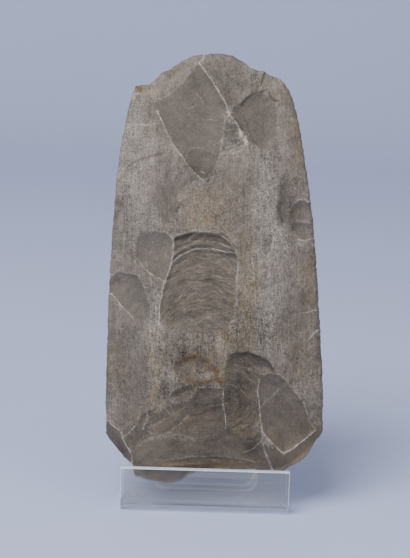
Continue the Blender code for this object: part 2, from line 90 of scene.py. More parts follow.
# Clear plastic: tint, roughness, share of the light that it bends or catches, and clearness of that.
PLASTICS = {
    "clear_sheet": ((1.0, 0.955, 0.89, 1.0), 0.03, 0.5, 0.985),
    # The sheet's rims: mostly opaque and pale so that the lamps draw them as the bright lines that clear
    # edges catch, a painted highlight.
    "polished_edge": ((0.70, 0.77, 0.93, 1.0), 0.35, 0.95, 0.15),
    # The window's cut faces and eased edges: opaque white so that they show as the bright lit walls seen
    # through the lip, a painted highlight.
    "window_edge": ((1.0, 1.0, 1.0, 1.0), 0.5, 1.0, 0.0),
}
CLEAR_IOR = 1.49

# Bends and corners of the sheet.
BEND_STEPS = 12
CORNER_STEP_DEG = 15

# Edges of the sheet: widest easing and its share at the cut ends, the angles from which an edge is eased
# and shaded sharp; an edge counts as the window's within a little of its width and above the floor.
EASED_EDGE = 0.0014
CUT_END_SHARE = 0.07
EASED_FROM_DEG = 40
SHARP_DEG = 30
WINDOW_SPARE = 0.0005
FLOOR_SPARE = 0.0008

# Soft lights: place, size across and power in watts.
LIGHTS = {
    "soft_above": ((-0.35, -0.55, 1.0), 0.7, 13.2),
    "soft_left": ((-0.9, -0.7, 0.35), 0.7, 4.7),
    "soft_right": ((0.9, -0.8, 0.5), 0.8, 3.8),
}
LIGHT_AIM = (0, 0, 0.07)
LIGHT_COLOUR = (0.965, 0.98, 1.0)
ROOM_COLOUR = (1.0, 0.985, 0.965, 1)
ROOM_LIGHT = 0.49

# Pale sweep: where the floor starts and bends, the bend's radius, the wall's top, half the width,
# how far the floor lies below the easel, and the steps of the bend.
SWEEP_FRONT = -1.5
SWEEP_BEND = 0.71
SWEEP_RADIUS = 0.35
SWEEP_HEIGHT = 2.0
SWEEP_HALF_WIDTH = 2.0
SWEEP_DROP = 0.0001
SWEEP_STEPS = 16

# Looks of single scars: width of the soft border in mm, share of the smooth scar finish.
SCAR_LOOKS = {
    "butt_facet": (1.4, 0.55), "butt_oval": (1.0, 0.9), "crushed_facet": (0.6, 0.8),
    "lined_facet": (0.7, 0.6), "shoulder_facet": (1.0, 0.25), "right_patch": (1.3, 0.8),
    "right_upper": (0.8, 0.85), "right_lower": (0.9, 0.8), "right_drop": (0.5, 0.65),
    "right_chip": (0.8, 0.7), "outer_step": (0.6, 0.4), "left_upper": (0.5, 0.9),
    "left_lower": (0.6, 0.9), "leaf_facet": (0.8, 0.9), "small_dark": (0.8, 0.8),
    "stain_hollow": (1.2, 0.0), "ripple_flake": (0.5, 1.0), "edge_flake": (0.7, 1.0),
    "lower_nick": (0.6, 0.8),
}

# Outline of the axe seen from the front: percent of the half width from the
# centre line, percent of the length above the lowest point.
LEFT_SIDE = (
    (-99.8, 11.6), (-100, 19.3), (-99.5, 26.2), (-98.8, 33.2), (-97.9, 40.2), (-96.5, 47.2),
    (-94.8, 54.1), (-93, 61.1), (-90.9, 68.1), (-88.3, 75), (-83.2, 82), (-77.2, 88.7),
    (-72.9, 92.2),
)
RIGHT_SIDE = (
    (101.6, 12.3), (101.6, 19.3), (101, 26.2), (99.8, 33.2), (97.9, 40.2), (96.3, 47.2),
    (94.5, 54.1), (92.1, 61.1), (88.9, 68.1), (84.8, 75), (80.3, 82), (74.2, 88.7), (69.6, 91.8),
)
BUTT = (
    (-72.9, 92.2), (-68.2, 92.5), (-58.9, 92.9), (-53.4, 94.1), (-46.9, 95.5), (-39.4, 96.4),
    (-31.1, 97.7), (-24.6, 98.7), (-17.2, 99.3), (-9.7, 99.7), (-0.5, 99.7), (10.7, 99.7),
    (19, 99.1), (28.3, 97.8), (34.8, 96.4), (45, 95.8), (54.3, 94.7), (64.5, 93.3), (69.6, 91.8),
)
CUTTING_EDGE = (
    (-99.8, 11.6), (-96.1, 10), (-91.4, 8.4), (-84.9, 6.5), (-78.4, 5), (-74.7, 3.9), (-73.3, 2.3),
    (-67.3, 1.4), (-55.2, 0.5), (-44.1, 0), (-32, 0.5), (-24.6, 1.6), (-18.1, 2.4), (-8.8, 2.9),
    (10.7, 3.1), (33.9, 3.1), (47.8, 2.7), (56.1, 2.3), (62.6, 2.6), (65.9, 3), (69.1, 3.7),
    (74.7, 4.3), (81.2, 5.2), (86.8, 6.5), (91.9, 8.4), (94.7, 9.9), (99.8, 11.3), (101.6, 12.3),
)

# Flake scars: depth and slope width in mm, how the depth grows across and upward,
# then the outline in the same percents.
FRONT_SCARS = {
    "butt_flake": (2.3, 9, (0.4, -0.35), (
        (-52.4, 87.8), (-38.5, 89.9), (-27.4, 92.7), (-13.5, 96.9), (-7.9, 95.5), (-0.5, 92.7),
        (6, 89.7), (12.5, 86.6), (14.4, 85), (10.7, 82.7), (7.9, 79.2), (5.1, 75.7), (1.4, 73.2),
        (-4.2, 71.1), (-9.7, 69.9), (-15.3, 70.8), (-24.6, 73.2), (-38.5, 78.5), (-48.7, 84.3),
    )),
    "butt_facet": (0.6, 5, (-0.3, -0.3), (
        (-11.6, 96.9), (1.4, 98.3), (17.2, 97.8), (29.2, 95.5), (33.9, 92.7), (27.4, 89),
        (20.9, 87.1), (14.4, 85), (12.5, 86.6), (6, 89.7), (-0.5, 92.7), (-7.9, 95.5),
    )),
    "butt_oval": (1.5, 5, (0.1, 0.4), (
        (14.4, 85), (20.9, 87.1), (27.4, 88.7), (35.7, 89.9), (45, 90.4), (53.4, 89), (58, 86.2),
        (58.9, 82.5), (54.3, 79.2), (45.9, 76.9), (37.6, 77.6), (31.1, 79), (24.6, 81.1),
        (19, 83.6),
    )),
    "crushed_facet": (0.8, 3, (0, 0), (
        (14.4, 85), (19, 83.6), (24.6, 81.1), (23.7, 79.4), (8.8, 79.7), (7.9, 82),
    )),
    "lined_facet": (0.6, 3, (0, 0), (
        (8.8, 79.7), (23.7, 79.4), (31.1, 78.3), (27.4, 76.9), (13.5, 75.7), (7, 76.7),
    )),
    "shoulder_facet": (0.35, 4, (0, 0), (
        (-79.4, 82.9), (-77.5, 85.2), (-73.8, 87.8), (-69.1, 89.9), (-58.9, 89), (-53.4, 87.3),
        (-51.5, 83.4), (-68.2, 82.5),
    )),
    "right_patch": (0.5, 3, (0, 0), (
        (60.8, 70.4), (65.4, 71.1), (69.1, 69.5), (68.2, 66.2), (67.3, 64.3), (68.2, 60.6),
        (60.8, 59.7), (57.1, 62.5), (58, 66.7),
    )),
    "right_upper": (1, 4.5, (0.3, 0.2), (
        (68.2, 63), (71, 64.3), (77.5, 65.3), (84, 65.5), (90.5, 64.8), (95.1, 63), (95.1, 60.9),
        (69.1, 60.9),
    )),
    "right_lower": (0.9, 4, (0.3, 0.2), (
        (69.1, 60.4), (95.1, 60.4), (95.1, 56.9), (84.9, 56), (76.6, 56.4), (70.1, 58.3),
    )),
    "right_drop": (0.25, 2, (0, 0), (
        (46.9, 56.4), (52.4, 56.4), (55.2, 54.1), (52.4, 52.3), (47.8, 52.5), (45, 54.4),
    )),
    "right_chip": (0.6, 2.5, (0.5, 0), (
        (91.4, 37.4), (103.5, 38.8), (105.3, 34.6), (93.3, 34.6),
    )),
    "middle_flake": (2.1, 8, (0.1, 0.8), (
        (-36.7, 56.4), (-33.9, 57.4), (-23.7, 58.1), (-7.9, 58.2), (7.9, 57.8), (14.4, 56.7),
        (20, 54.6), (23.7, 52), (20.9, 49.9), (20, 48.3), (19, 46), (20.9, 43.4), (20, 40.7),
        (17.2, 38.3), (13.5, 36), (-12.5, 34.8), (-40.4, 35.1), (-47.8, 36.7), (-49.7, 39.7),
        (-48.7, 42.5), (-45, 46.2), (-40.4, 49.9), (-36.7, 52.7),
    )),
    "middle_step": (0.8, 1.6, (0, 1), (
        (-36.7, 51.3), (-29.2, 53), (-21.8, 53.9), (-10.7, 54.4), (1.4, 54.1), (11.6, 53.7),
        (20.9, 53), (23.7, 51.3), (20, 48.3), (19, 44.8), (20, 41.3), (14.4, 37.4), (-12.5, 36.2),
        (-40.4, 36.5), (-46.9, 38.3), (-47.8, 42.5), (-42.2, 48.1),
    )),
    "outer_step": (0.35, 1, (0, 0), (
        (-25.5, 57.8), (-21.8, 58.8), (-12.5, 59.1), (0.5, 59), (9.7, 58.1), (13.5, 56.9),
        (-7.9, 58.2), (-23.7, 58.1),
    )),
    "left_upper": (0.8, 4.5, (0.2, 0.3), (
        (-71, 56.4), (-67.3, 57.8), (-58.9, 58.1), (-49.7, 58.2), (-42.2, 57.8), (-36.7, 56.4),
        (-37.6, 53.7), (-39.4, 51.1), (-45, 46.7), (-54.3, 48.1), (-61.7, 49.5), (-71, 51.3),
        (-71.9, 54.1),
    )),
    "left_lower": (1.1, 5, (-0.5, 0.3), (
        (-97.9, 46.5), (-93.3, 48.1), (-85.8, 49.2), (-77.5, 48.8), (-67.3, 48.3), (-61.7, 45.3),
        (-57.1, 41.8), (-56.1, 38.8), (-63.6, 37.4), (-72.9, 38.3), (-84.9, 41.3), (-97, 44.1),
    )),
    "ripple_flake": (1.7, 6, (0, 0.4), (
        (9.7, 25.8), (11.6, 28.6), (16.2, 30.2), (27.4, 30.9), (36.7, 30.4), (45, 29.5),
        (52.4, 27.9), (58.9, 25.6), (50.6, 26.2), (43.2, 25.1), (40.8, 23.2), (40.4, 20.4),
        (43.2, 15.8), (45, 10.5), (32, 10), (10.7, 14.2), (9.3, 19.3), (8.4, 22.5),
    )),
    "leaf_flake": (1.7, 7, (0.3, -0.2), (
        (43.2, 25.1), (50.6, 26.2), (58.9, 25.6), (65.4, 24.4), (71.9, 22.5), (78.4, 20.4),
        (84, 17.7), (88.6, 14.6), (93.3, 12.3), (84.9, 10.5), (75.6, 8.8), (65.4, 7), (57.1, 8.8),
        (45, 12.3), (43.2, 15.8), (40.4, 20.4), (40.8, 23.2),
    )),
    "leaf_facet": (0.35, 3, (0, 0), (
        (45, 18.8), (50.6, 20.2), (58, 21.1), (67.3, 20.9), (74.7, 21.6), (67.3, 24.2),
        (58.9, 25.3), (50.6, 26), (43.2, 24.9), (40.8, 22.8), (41.3, 20.2),
    )),
    "edge_flake": (1.8, 9, (0, -0.5), (
        (-83.1, 10.7), (-73.8, 12.8), (-68.2, 13.7), (-61.7, 14.6), (-57.1, 17), (-49.7, 16.7),
        (-40.4, 18.8), (-29.2, 18.8), (-17.2, 20.2), (-13.5, 22.5), (7.9, 22.5), (9.3, 19.3),
        (10.7, 14.4), (32, 10), (45.5, 10.2), (48.7, 7.2), (52.4, 4.6), (54.3, 1.4), (45, -5.1),
        (-68.2, -6.3), (-73.8, -1.6), (-74.7, 3.7), (-75.2, 6.7), (-79.8, 8.8),
    )),
    "corner_nick": (0.7, 2.5, (0, 0), (
        (-79.4, 11.4), (-70.1, 13.7), (-65.4, 16.3), (-58.9, 17.4), (-52.4, 17.7), (-57.1, 16.7),
        (-59.9, 15.1), (-65.4, 13.2), (-71.9, 12.1),
    )),
    "lower_nick": (0.4, 2.5, (0, 0), (
        (-64.5, 13.2), (-58.9, 13.7), (-53.4, 12.5), (-57.1, 11.4), (-68.2, 11.4),
    )),
    "right_corner": (1.3, 6, (0.4, -0.3), (
        (45.9, 10), (51.5, 8.6), (57.1, 8.6), (65.4, 6.7), (75.6, 8.6), (84.9, 10.3), (93.3, 12.1),
        (112.8, 12.3), (108.1, -2.8), (54.3, -5.1), (54.3, 1.4), (52.4, 4.6), (48.7, 7.2),
    )),
    "left_corner": (1.3, 5, (-0.3, -0.4), (
        (-107.2, 16), (-98.4, 15.8), (-95.1, 13.9), (-87.7, 12.5), (-84.5, 11.1), (-79.8, 8.8),
        (-75.2, 6.7), (-74.7, 3.7), (-73.8, -2.1), (-110, -2.1),
    )),
    "small_dark": (0.5, 3, (0, 0.3), (
        (-42.7, 20.2), (-38.5, 21.4), (-31.1, 22.3), (-21.8, 23), (-15.3, 22.8), (-17.2, 21.1),
        (-27.4, 19.3), (-36.7, 19),
    )),
    "stain_hollow": (0.5, 4, (0, 0), (
        (-31.1, 26.7), (-25.5, 29.3), (-12.5, 30.2), (0.5, 29.3), (7.9, 26.7), (0.5, 24.2),
        (-12.5, 23), (-25.5, 24.2),
    )),
}

BACK_SCARS = {
    "butt_flake": (1.6, 8, (0, 0.4), (
        (-30, 101), (-44, 92), (-38, 80), (-14, 73), (10, 78), (22, 90), (8, 103),
    )),
    "left_flake": (1.5, 8, (-0.5, 0), (
        (-108, 62), (-76, 66), (-46, 58), (-40, 46), (-62, 37), (-108, 40),
    )),
    "right_flake": (1.3, 7, (0.5, 0), (
        (108, 78), (72, 76), (52, 66), (58, 55), (82, 51), (110, 54),
    )),
    "edge_left": (1.7, 9, (-0.3, -0.5), (
        (-112, 22), (-70, 27), (-34, 21), (-20, 8), (-26, -6), (-112, -6),
    )),
    "edge_middle": (1.5, 8, (0, -0.5), (
        (-20, 8), (-30, 20), (-4, 30), (30, 24), (40, 8), (34, -6), (-26, -6),
    )),
    "edge_right": (1.6, 8, (0.3, -0.5), (
        (40, 8), (34, 22), (66, 29), (112, 24), (112, -6), (34, -6),
    )),
}

# Share of the full swell of the face at stations from the cutting edge to the butt.
MIDDLE_SWELL = (
    (0, 0), (0.02, 0.20), (0.06, 0.40), (0.12, 0.60), (0.22, 0.80), (0.35, 0.94), (0.50, 1),
    (0.65, 0.98), (0.80, 0.86), (0.90, 0.70), (0.96, 0.52),
    (1, (BUTT_THICKNESS - EDGE_THICKNESS) / (AXE_THICKNESS - EDGE_THICKNESS)),
)
SIDE_SWELL = (
    (0, 0), (0.04, 0.28), (0.12, 0.55), (0.25, 0.80), (0.45, 1), (0.70, 0.96), (0.90, 0.72),
    (1, (BUTT_THICKNESS - EDGE_THICKNESS) / (SIDE_THICKNESS - EDGE_THICKNESS)),
)

# Drawn lines and soft spots of the worked face, placed in pixels of the picture.
# A line is its strength, sometimes its width in mm, and its corners; a spot is strength, centre, radii.
BRIGHT_LINES = {
    "butt_ridge": (1, (
        (206, 56), (203, 61), (199.5, 65), (202, 69), (208, 77), (214, 87), (220, 97), (226, 108),
        (228, 116),
    )),
    "butt_ridge_low": (1, ((228, 116), (233, 122), (237.5, 127.5), (240, 136), (246, 141), (248, 147))),
    "butt_left": (0.75, (
        (157, 112), (160, 118), (165, 127), (171, 142), (178, 152), (184, 161), (190, 170), (197, 177),
        (203, 182),
    )),
    "butt_shoulder": (0.08, ((156, 106), (160, 102), (168, 98), (176, 91))),
    "butt_inner": (0.16, ((229, 117), (224, 127), (222, 142), (219, 157), (214, 170), (203, 182))),
    "facet_low": (0.35, ((223, 156), (232, 152), (246, 146))),
    "shoulder_line": (0.5, (
        (137, 95), (132, 108), (129, 117.5), (127.5, 126), (140, 127.5), (157, 126),
    )),
    "middle_left": (0.95, (
        (174.5, 240), (174, 252), (172.5, 261), (169, 271), (166, 280), (162.5, 295), (160.5, 306),
        (160, 322), (165, 331),
    )),
    "middle_top": (0.6, (
        (174.5, 240), (177, 236), (190, 232.5), (205, 232.5), (220, 235), (230, 244), (236, 252),
        (238, 261), (237, 272),
    )),
    "middle_arc": (0.85, (
        (175, 262), (182, 255), (190, 251), (202.5, 249), (215, 249.5), (226, 252.5), (236, 254),
    )),
    "middle_outer": (0.45, ((188, 231.5), (200, 229.5), (214, 229.5), (222, 232))),
    "middle_right": (0.3, ((237, 272), (235, 285), (236, 300), (233, 312), (230, 328))),
    "left_top": (0.5, ((160, 232.5), (167, 233), (174.5, 240))),
    "left_low": (0.7, ((146, 270), (155, 276), (165, 282))),
    "left_under": (0.4, ((138, 258), (147, 270))),
    "low_left_arc": (0.28, ((111, 281), (116, 274), (121, 271), (128, 273), (140, 275))),
    "low_left_right": (0.5, ((140, 275), (146, 288), (151, 305), (152.5, 320))),
    "low_left_scratch": (0.8, ((112.5, 292.5), (122.5, 305), (135, 318))),
    "right_arc": (0.7, ((288, 210), (297, 201), (303, 200), (309, 204))),
    "right_low": (0.6, ((296, 240), (304, 241), (312, 238.5))),
    "right_nick": (0.65, ((293, 314), (300, 312), (309, 311), (316, 310))),
    "right_nick_low": (0.8, ((306, 340), (310, 335), (315, 331), (318, 325))),
    "right_nick_fork": (0.6, ((315, 331), (317, 335), (318, 339))),
    "band_edge": (0.55, 0.2, ((251, 258), (253, 285), (255.5, 310), (257.5, 335), (259, 351))),
    "ripple_left": (0.8, ((223, 387), (222.5, 402), (224.4, 410), (225, 426))),
    "ripple_right": (0.85, (
        (258, 377.5), (257, 390), (258, 402.5), (260, 415), (262, 430), (261, 440), (251, 448),
        (243, 451),
    )),
    "ripple_top": (0.5, ((251, 351.5), (256, 353), (261, 357))),
    "leaf_inner": (0.4, ((260.6, 405), (265, 398.7), (272.5, 392.5), (279, 386))),
    "leaf_right": (0.35, ((280, 373), (290, 385), (302.5, 402.5), (308, 418), (314, 430))),
    "leaf_low": (0.9, ((314, 430), (305, 437.5), (295, 445), (284, 453), (275, 445), (262, 430))),
    "leaf_fork": (0.6, ((262.5, 430), (264, 436), (269, 441), (272, 446))),
    "edge_fork": (0.8, ((262, 440), (266, 452.5), (269.4, 460), (272.5, 470))),
    "corner_top_left": (0.8, ((107.5, 415), (111, 423), (119, 429), (122.5, 433))),
    "corner_line": (0.85, ((122.5, 437), (127.5, 445), (132.5, 454), (133, 467))),
    "corner_rise": (0.7, ((122.5, 436), (134, 427.5), (139, 415))),
    "nick_line": (0.6, ((142.5, 427.5), (147.5, 420), (148.7, 412.5), (147.5, 407.5))),
    "nick_low": (0.4, ((142.5, 427.5), (150, 430), (156, 432))),
    "edge_swirl_long": (0.3, 0.5, ((140, 440), (158.7, 435), (170, 430), (180, 421), (189, 414))),
    "edge_swirl_right": (0.3, 0.45, ((169, 432.5), (181, 432.5), (190, 435), (195, 440))),
    "small_top": (0.4, ((168.7, 395), (172.5, 390), (181, 385), (190, 383))),
    "edge_top": (0.75, ((199, 385.6), (209, 385), (220, 386))),
    "bottom_band_high": (0.25, 0.4, ((172, 458), (195, 455), (225, 455), (255, 461))),
    "bottom_band_low": (0.2, ((180, 464), (205, 461), (235, 461), (262, 466))),
    "crushed_top": (0.35, (
        (222, 117), (226, 121), (230, 125), (233, 131), (239, 138), (242, 143), (246, 142),
    )),
    "crushed_left": (0.35, ((226, 119), (224, 127), (226, 133), (231, 132))),
    "butt_side": (0.45, ((128, 116), (132, 105), (135, 94))),
    "left_pale": (0.55, ((117, 174), (122, 170.5), (129, 168))),
    "drop": (0.85, (
        (260, 238), (259.5, 247), (262, 254), (266, 257), (270, 253), (272.5, 245), (272, 237),
    )),
    "patch_peak": (0.4, ((277, 196), (280, 186), (285, 178), (290, 183), (294, 192))),
    "oval_side": (0.22, ((277, 118), (277, 130), (275, 140), (269, 149), (262, 153))),
    "left_scribble": (0.3, ((186, 158), (190, 151), (196, 149), (204, 151))),
    "flake_mark_upper": (0.35, ((190, 111), (192, 109), (194, 108))),
    "flake_mark_lower": (0.3, ((214, 148), (219, 145), (222, 143))),
    "ripple_arc_top": (0.28, ((227, 363.5), (238, 364), (247, 367), (256, 371))),
    "ripple_arc_upper": (0.25, ((226, 373), (235, 374), (244, 377.5), (250, 383))),
    "ripple_arc_lower": (0.42, ((225, 383), (232.5, 384), (239, 387.5), (246, 395))),
    "ripple_arc_foot": (0.28, ((225, 402.5), (230, 400), (238, 401))),
    "ripple_low": (0.28, ((246, 423), (253, 425), (260, 430))),
    "leaf_arc": (0.35, ((258, 374), (265, 372.5), (272.5, 371), (279, 372.5))),
    "edge_loop_top": (0.35, 0.3, ((174, 398), (181, 393), (190, 390), (195, 393))),
    "edge_swirl_low": (0.25, 0.5, ((136, 446), (150, 438), (168, 434), (186, 438))),
    "edge_swirl_high": (0.25, 0.45, ((150, 426), (164, 418), (178, 410), (186, 404))),
    "edge_loop_side": (0.35, ((169, 402.5), (174, 410), (170, 412.5), (166, 408))),
    "crumb_high": (0.9, 0.26, ((226, 115), (231, 116), (229, 119), (233, 121), (229, 125), (235, 126))),
    "crumb_low": (0.9, 0.26, ((238, 133), (243, 135), (240, 138), (246, 139), (243, 143), (247, 147))),
    "lined_high": (0.5, 0.2, ((246, 142), (236, 146), (225, 150))),
    "lined_middle": (0.4, 0.2, ((247, 146), (238, 150), (226, 155))),
    "lined_low": (0.35, 0.2, ((247, 149), (238, 154), (230, 158))),
    "nick_inner": (0.35, ((152, 420), (155, 427), (158, 431))),
    # painted highlight along the left rim, where the face turns into the side
    "left_rim_high": (0.8, ((131.5, 93), (127, 110), (123, 127), (119.5, 150), (117, 170))),
    "left_rim_low": (0.6, ((116, 178), (114, 195), (112, 217), (110.5, 243))),
    "right_rim": (0.55, ((310, 243), (313, 262), (316, 290), (317.5, 310))),
    "flake_mark_high": (0.3, ((196, 96), (200, 100), (203, 106))),
    "flake_mark_middle": (0.28, ((205, 122), (211, 121), (216, 123))),
    "flake_dot": (1, ((202, 174), (203.5, 174.5))),
    "right_rim_high": (0.4, ((296, 122), (300, 143), (304, 170), (307, 195))),
    "left_step": (0.3, ((147, 262), (152, 282), (156.5, 303), (158, 320))),
    "ledge_line": (0.35, ((178, 246), (190, 242), (204, 241.5), (220, 244), (230, 249))),
}

# Dark lines darken the stone and are cut in as shallow grooves; most are cracks and scratches, some are
# painted shadow under scar edges and along the bottom edge.
DARK_LINES = {
    # painted shadow under the oval scar's steep top edge
    "butt_oval_top_shadow": (0.8, 0.55, ((240, 108), (247.5, 100), (256, 94.5), (266, 92.5))),
    "butt_oval_hook": (1, 0.4, ((268.5, 95), (273, 103), (277, 102))),
    "butt_crack": (1.6, 0.4, ((264, 70), (262.5, 80), (260, 88))),
    "left_crack": (0.75, 0.4, ((127, 169.5), (134, 165.5), (141, 162), (150, 159), (163, 156))),
    "scratch": (1, 0.45, ((176, 213), (178.5, 209), (181.5, 205))),
    "right_under": (0.5, 0.4, ((296, 221), (304, 220), (312, 222))),
    "right_band": (0.45, 1, ((277, 204), (278, 216), (279, 228))),
    # painted shadow in the middle flake's hollow, under its top edge and under its inner arc
    "middle_top_shadow": (0.7, 0.6, (
        (177, 240), (188, 236), (205, 235.5), (219, 238), (228, 244), (234, 254),
    )),
    "middle_arc_upper_shadow": (0.45, 0.5, ((184, 251), (196, 246.5), (212, 246), (226, 249))),
    "middle_arc_lower_shadow": (0.6, 0.6, ((177, 264), (190, 254.5), (204, 252), (218, 253), (235, 258))),
    "edge_diagonal": (0.5, 0.5, ((190, 414), (200, 412), (215, 406), (222, 405))),
    # painted shadow under the ripple flake's top border
    "ripple_shade": (0.55, 0.8, (
        (226, 360), (233, 354.5), (246, 354), (258, 358), (268, 365), (275, 372),
    )),
    "corner_notch": (0.7, 0.8, ((150, 412), (153, 409), (157, 408))),
    "corner_dark": (0.5, 1, ((123, 433), (131, 426), (138, 419))),
    "oval_spot": (0.6, 0.7, ((226, 76), (229, 77))),
    "flake_spot": (0.5, 0.6, ((204, 155), (206, 158))),
    "low_left_dark": (0.45, 0.9, ((113, 283), (118, 279), (122, 284))),
    # painted shadow along the axe's bottom edge
    "tip_shadow_band": (0.5, 0.7, ((195, 468), (215, 466), (240, 467), (262, 470))),
    "butt_facet_edge": (0.5, 0.5, ((232, 118), (238, 126), (243, 134), (247, 142))),
    "lined_dark_high": (0.5, 0.22, ((226, 148), (232, 146), (239, 147))),
    "lined_dark_middle": (0.45, 0.22, ((224, 153), (232, 151), (241, 152))),
    "lined_dark_low": (0.4, 0.22, ((223, 158), (230, 157), (243, 158))),
    "left_edge_crack": (0.5, 0.3, ((117, 176), (118, 170), (121, 166))),
    "patch_left": (0.7, 0.7, ((279, 203), (278, 210), (279, 219), (282, 223))),
    "band_right": (0.5, 0.25, ((254, 285), (255, 300), (256, 320), (258, 336))),
    # painted shadow under the ripple flake's top border
    "ripple_edge_shadow": (1.1, 0.6, (
        (227.5, 356), (231, 353), (235, 351.5), (247.5, 352.5), (257.5, 355), (265, 359.5),
        (272.5, 367.5),
    )),
    "left_low_edge": (0.3, 0.35, ((115, 300), (114, 320), (113, 335))),
    "right_row": (0.3, 0.3, ((300, 206), (298, 214), (300, 226))),
    "oval_low": (0.35, 0.5, ((243, 118), (247, 132), (252, 143), (260, 151))),
    "middle_dark_high": (0.45, 0.35, ((172, 288), (182, 281), (195, 279), (208, 281), (222, 287))),
    "middle_dark": (0.4, 0.35, ((168, 300), (180, 294), (196, 291), (212, 293), (226, 299))),
    "middle_dark_low": (0.35, 0.35, ((166, 312), (180, 306), (196, 304), (212, 306), (224, 311))),
    "diamond_low": (0.6, 0.5, ((204, 180), (211, 173), (216.5, 164), (219, 154))),
    "diamond_nick": (0.6, 0.4, ((202, 158), (206, 155), (210, 157))),
    "diamond_top": (0.3, 0.9, ((196, 68), (206, 78), (212, 90))),
    "edge_dark_high": (0.4, 0.3, ((180, 459), (200, 456.5), (222, 457), (246, 461), (262, 465))),
    "edge_dark_low": (0.4, 0.3, ((176, 467), (196, 464.5), (220, 464), (246, 468))),
}

RUST_LINES = {
    "ring_top": (0.8, 0.8, (
        (182, 359), (185, 356.5), (190, 355), (197, 355), (203, 357.5), (208, 359.5), (212, 362.5),
    )),
    "ring_inner": (0.5, 0.5, ((197, 370), (202, 370), (207, 369))),
    "ring_side": (0.85, 0.7, ((212, 362.5), (215, 366), (216, 371), (216.5, 376))),
    "ring_spot": (1, 0.6, ((208, 366), (212, 368), (219, 369.5))),
    "ring_low": (0.7, 0.7, (
        (187, 377.5), (192, 379.5), (198, 380.5), (205, 380), (212, 378), (218, 376),
    )),
    "ring_tail": (1, 0.7, ((216.5, 376), (219.5, 379), (222, 382))),
    "ring_left": (0.45, 1.3, ((181, 359), (178, 364), (179, 370))),
    "butt_corner": (0.9, 0.9, ((139, 89), (142, 91), (141, 93))),
    "top_spot": (0.7, 0.5, ((216.5, 217), (218, 218))),
    "top_spot_left": (0.4, 0.5, ((211, 212), (213, 214))),
}

WARM_SPOTS = {
    "middle_right_band": (0.85, (248, 295), (9, 62)),
    "left_cream_band": (0.75, (157, 368), (8, 42)),
    "centre_top": (0.75, (203, 208), (22, 18)),
    "under_flake": (0.55, (204, 346), (36, 18)),
    "ledge": (0.45, (210, 234), (34, 14)),
    "tan_side": (0.3, (234, 300), (8, 40)),
    "corner_side": (0.55, (312, 440), (10, 24)),
    "left_cream_low": (0.25, (120, 370), (14, 26)),
    "left_cream_high": (0.25, (166, 318), (10, 26)),
    "butt_right": (0.25, (282, 90), (16, 14)),
    "ground_tan": (0.25, (232, 190), (14, 22)),
    "ripple_side": (0.15, (290, 350), (30, 40)),
    "low_foot": (0.3, (195, 464), (40, 8)),
    "right_edge_top": (0.5, (297, 130), (6, 40)),
    "oval_right": (0.6, (248, 65), (5, 4)),
    "corner_low": (0.45, (300, 456), (20, 14)),
    "edge_low": (0.45, (225, 462), (50, 6)),
    "tip_low": (0.35, (160, 476), (22, 6)),
    "spot_left": (0.5, (172, 72), (5, 4)),
    "right_side": (0.5, (308, 285), (8, 40)),
    "butt_left_tip": (0.3, (150, 92), (12, 8)),
    "middle_flake": (0.28, (200, 290), (34, 40)),
    "edge_left": (0.25, (180, 420), (40, 20)),
    "ripple": (0.3, (243, 400), (16, 45)),
    "left_edge": (0.2, (112, 330), (5, 60)),
    "band_foot": (0.5, (232, 335), (8, 14)),
    "lower_right": (0.2, (300, 370), (14, 40)),
    "low_face": (0.3, (215, 438), (110, 40)),
    "ring_field": (0.65, (206, 374), (30, 20)),
}

PALE_SPOTS = {
    "ridge_crumbs": (1.3, (230, 120), (5, 6)),
    "ridge_crumbs_low": (1.2, (243, 137), (4.5, 5)),
    "middle_right_crumbs": (0.8, (237, 266), (3.5, 11)),
    # painted highlight: a pale patch where a whitish glint lies over the axe's tip
    "tip_patch": (0.9, (171, 466), (5, 3.5)),
    "left_ground": (0.6, (132, 160), (20, 55)),
    "left_middle": (0.3, (150, 240), (20, 30)),
    "butt_face": (0.35, (228, 75), (22, 14)),
    "right_ground": (0.55, (266, 215), (16, 70)),
    "centre_film": (0.15, (212, 215), (26, 24)),
    "butt_film": (0.2, (246, 80), (30, 22)),
    "right_low": (0.5, (270, 320), (16, 50)),
    "butt_left_face": (0.5, (140, 115), (12, 20)),
    "scar_foot": (0.5, (286, 234), (9, 5)),
    "flake_tip": (0.35, (203, 188), (10, 5)),
    "ring_centre": (0.8, (206, 372), (9, 6)),
    "left_band": (0.3, (160, 210), (8, 30)),
    "cream_hairs": (0.45, (156, 368), (9, 42)),
    "tan_hairs": (0.3, (247, 300), (8, 50)),
    "pitted": (0.55, (198, 342), (32, 12)),
    "flake_side": (0.5, (158, 330), (10, 28)),
    "flake_right": (0.7, (234, 315), (4, 24)),
    "crushed": (0.6, (228, 150), (9, 12)),
    "right_side": (0.5, (285, 240), (20, 12)),
    "under_left": (0.4, (160, 300), (6, 30)),
    "lower_right": (0.28, (300, 400), (14, 28)),
    "butt_edge": (0.3, (275, 88), (12, 10)),
    "left_low": (0.4, (112, 400), (6, 30)),
    "top_left": (0.3, (165, 90), (14, 10)),
    "ring_left": (0.4, (172, 372), (8, 10)),
    "swirl": (0.3, (175, 432), (26, 8)),
    "ripple_low": (0.25, (246, 425), (10, 20)),
}

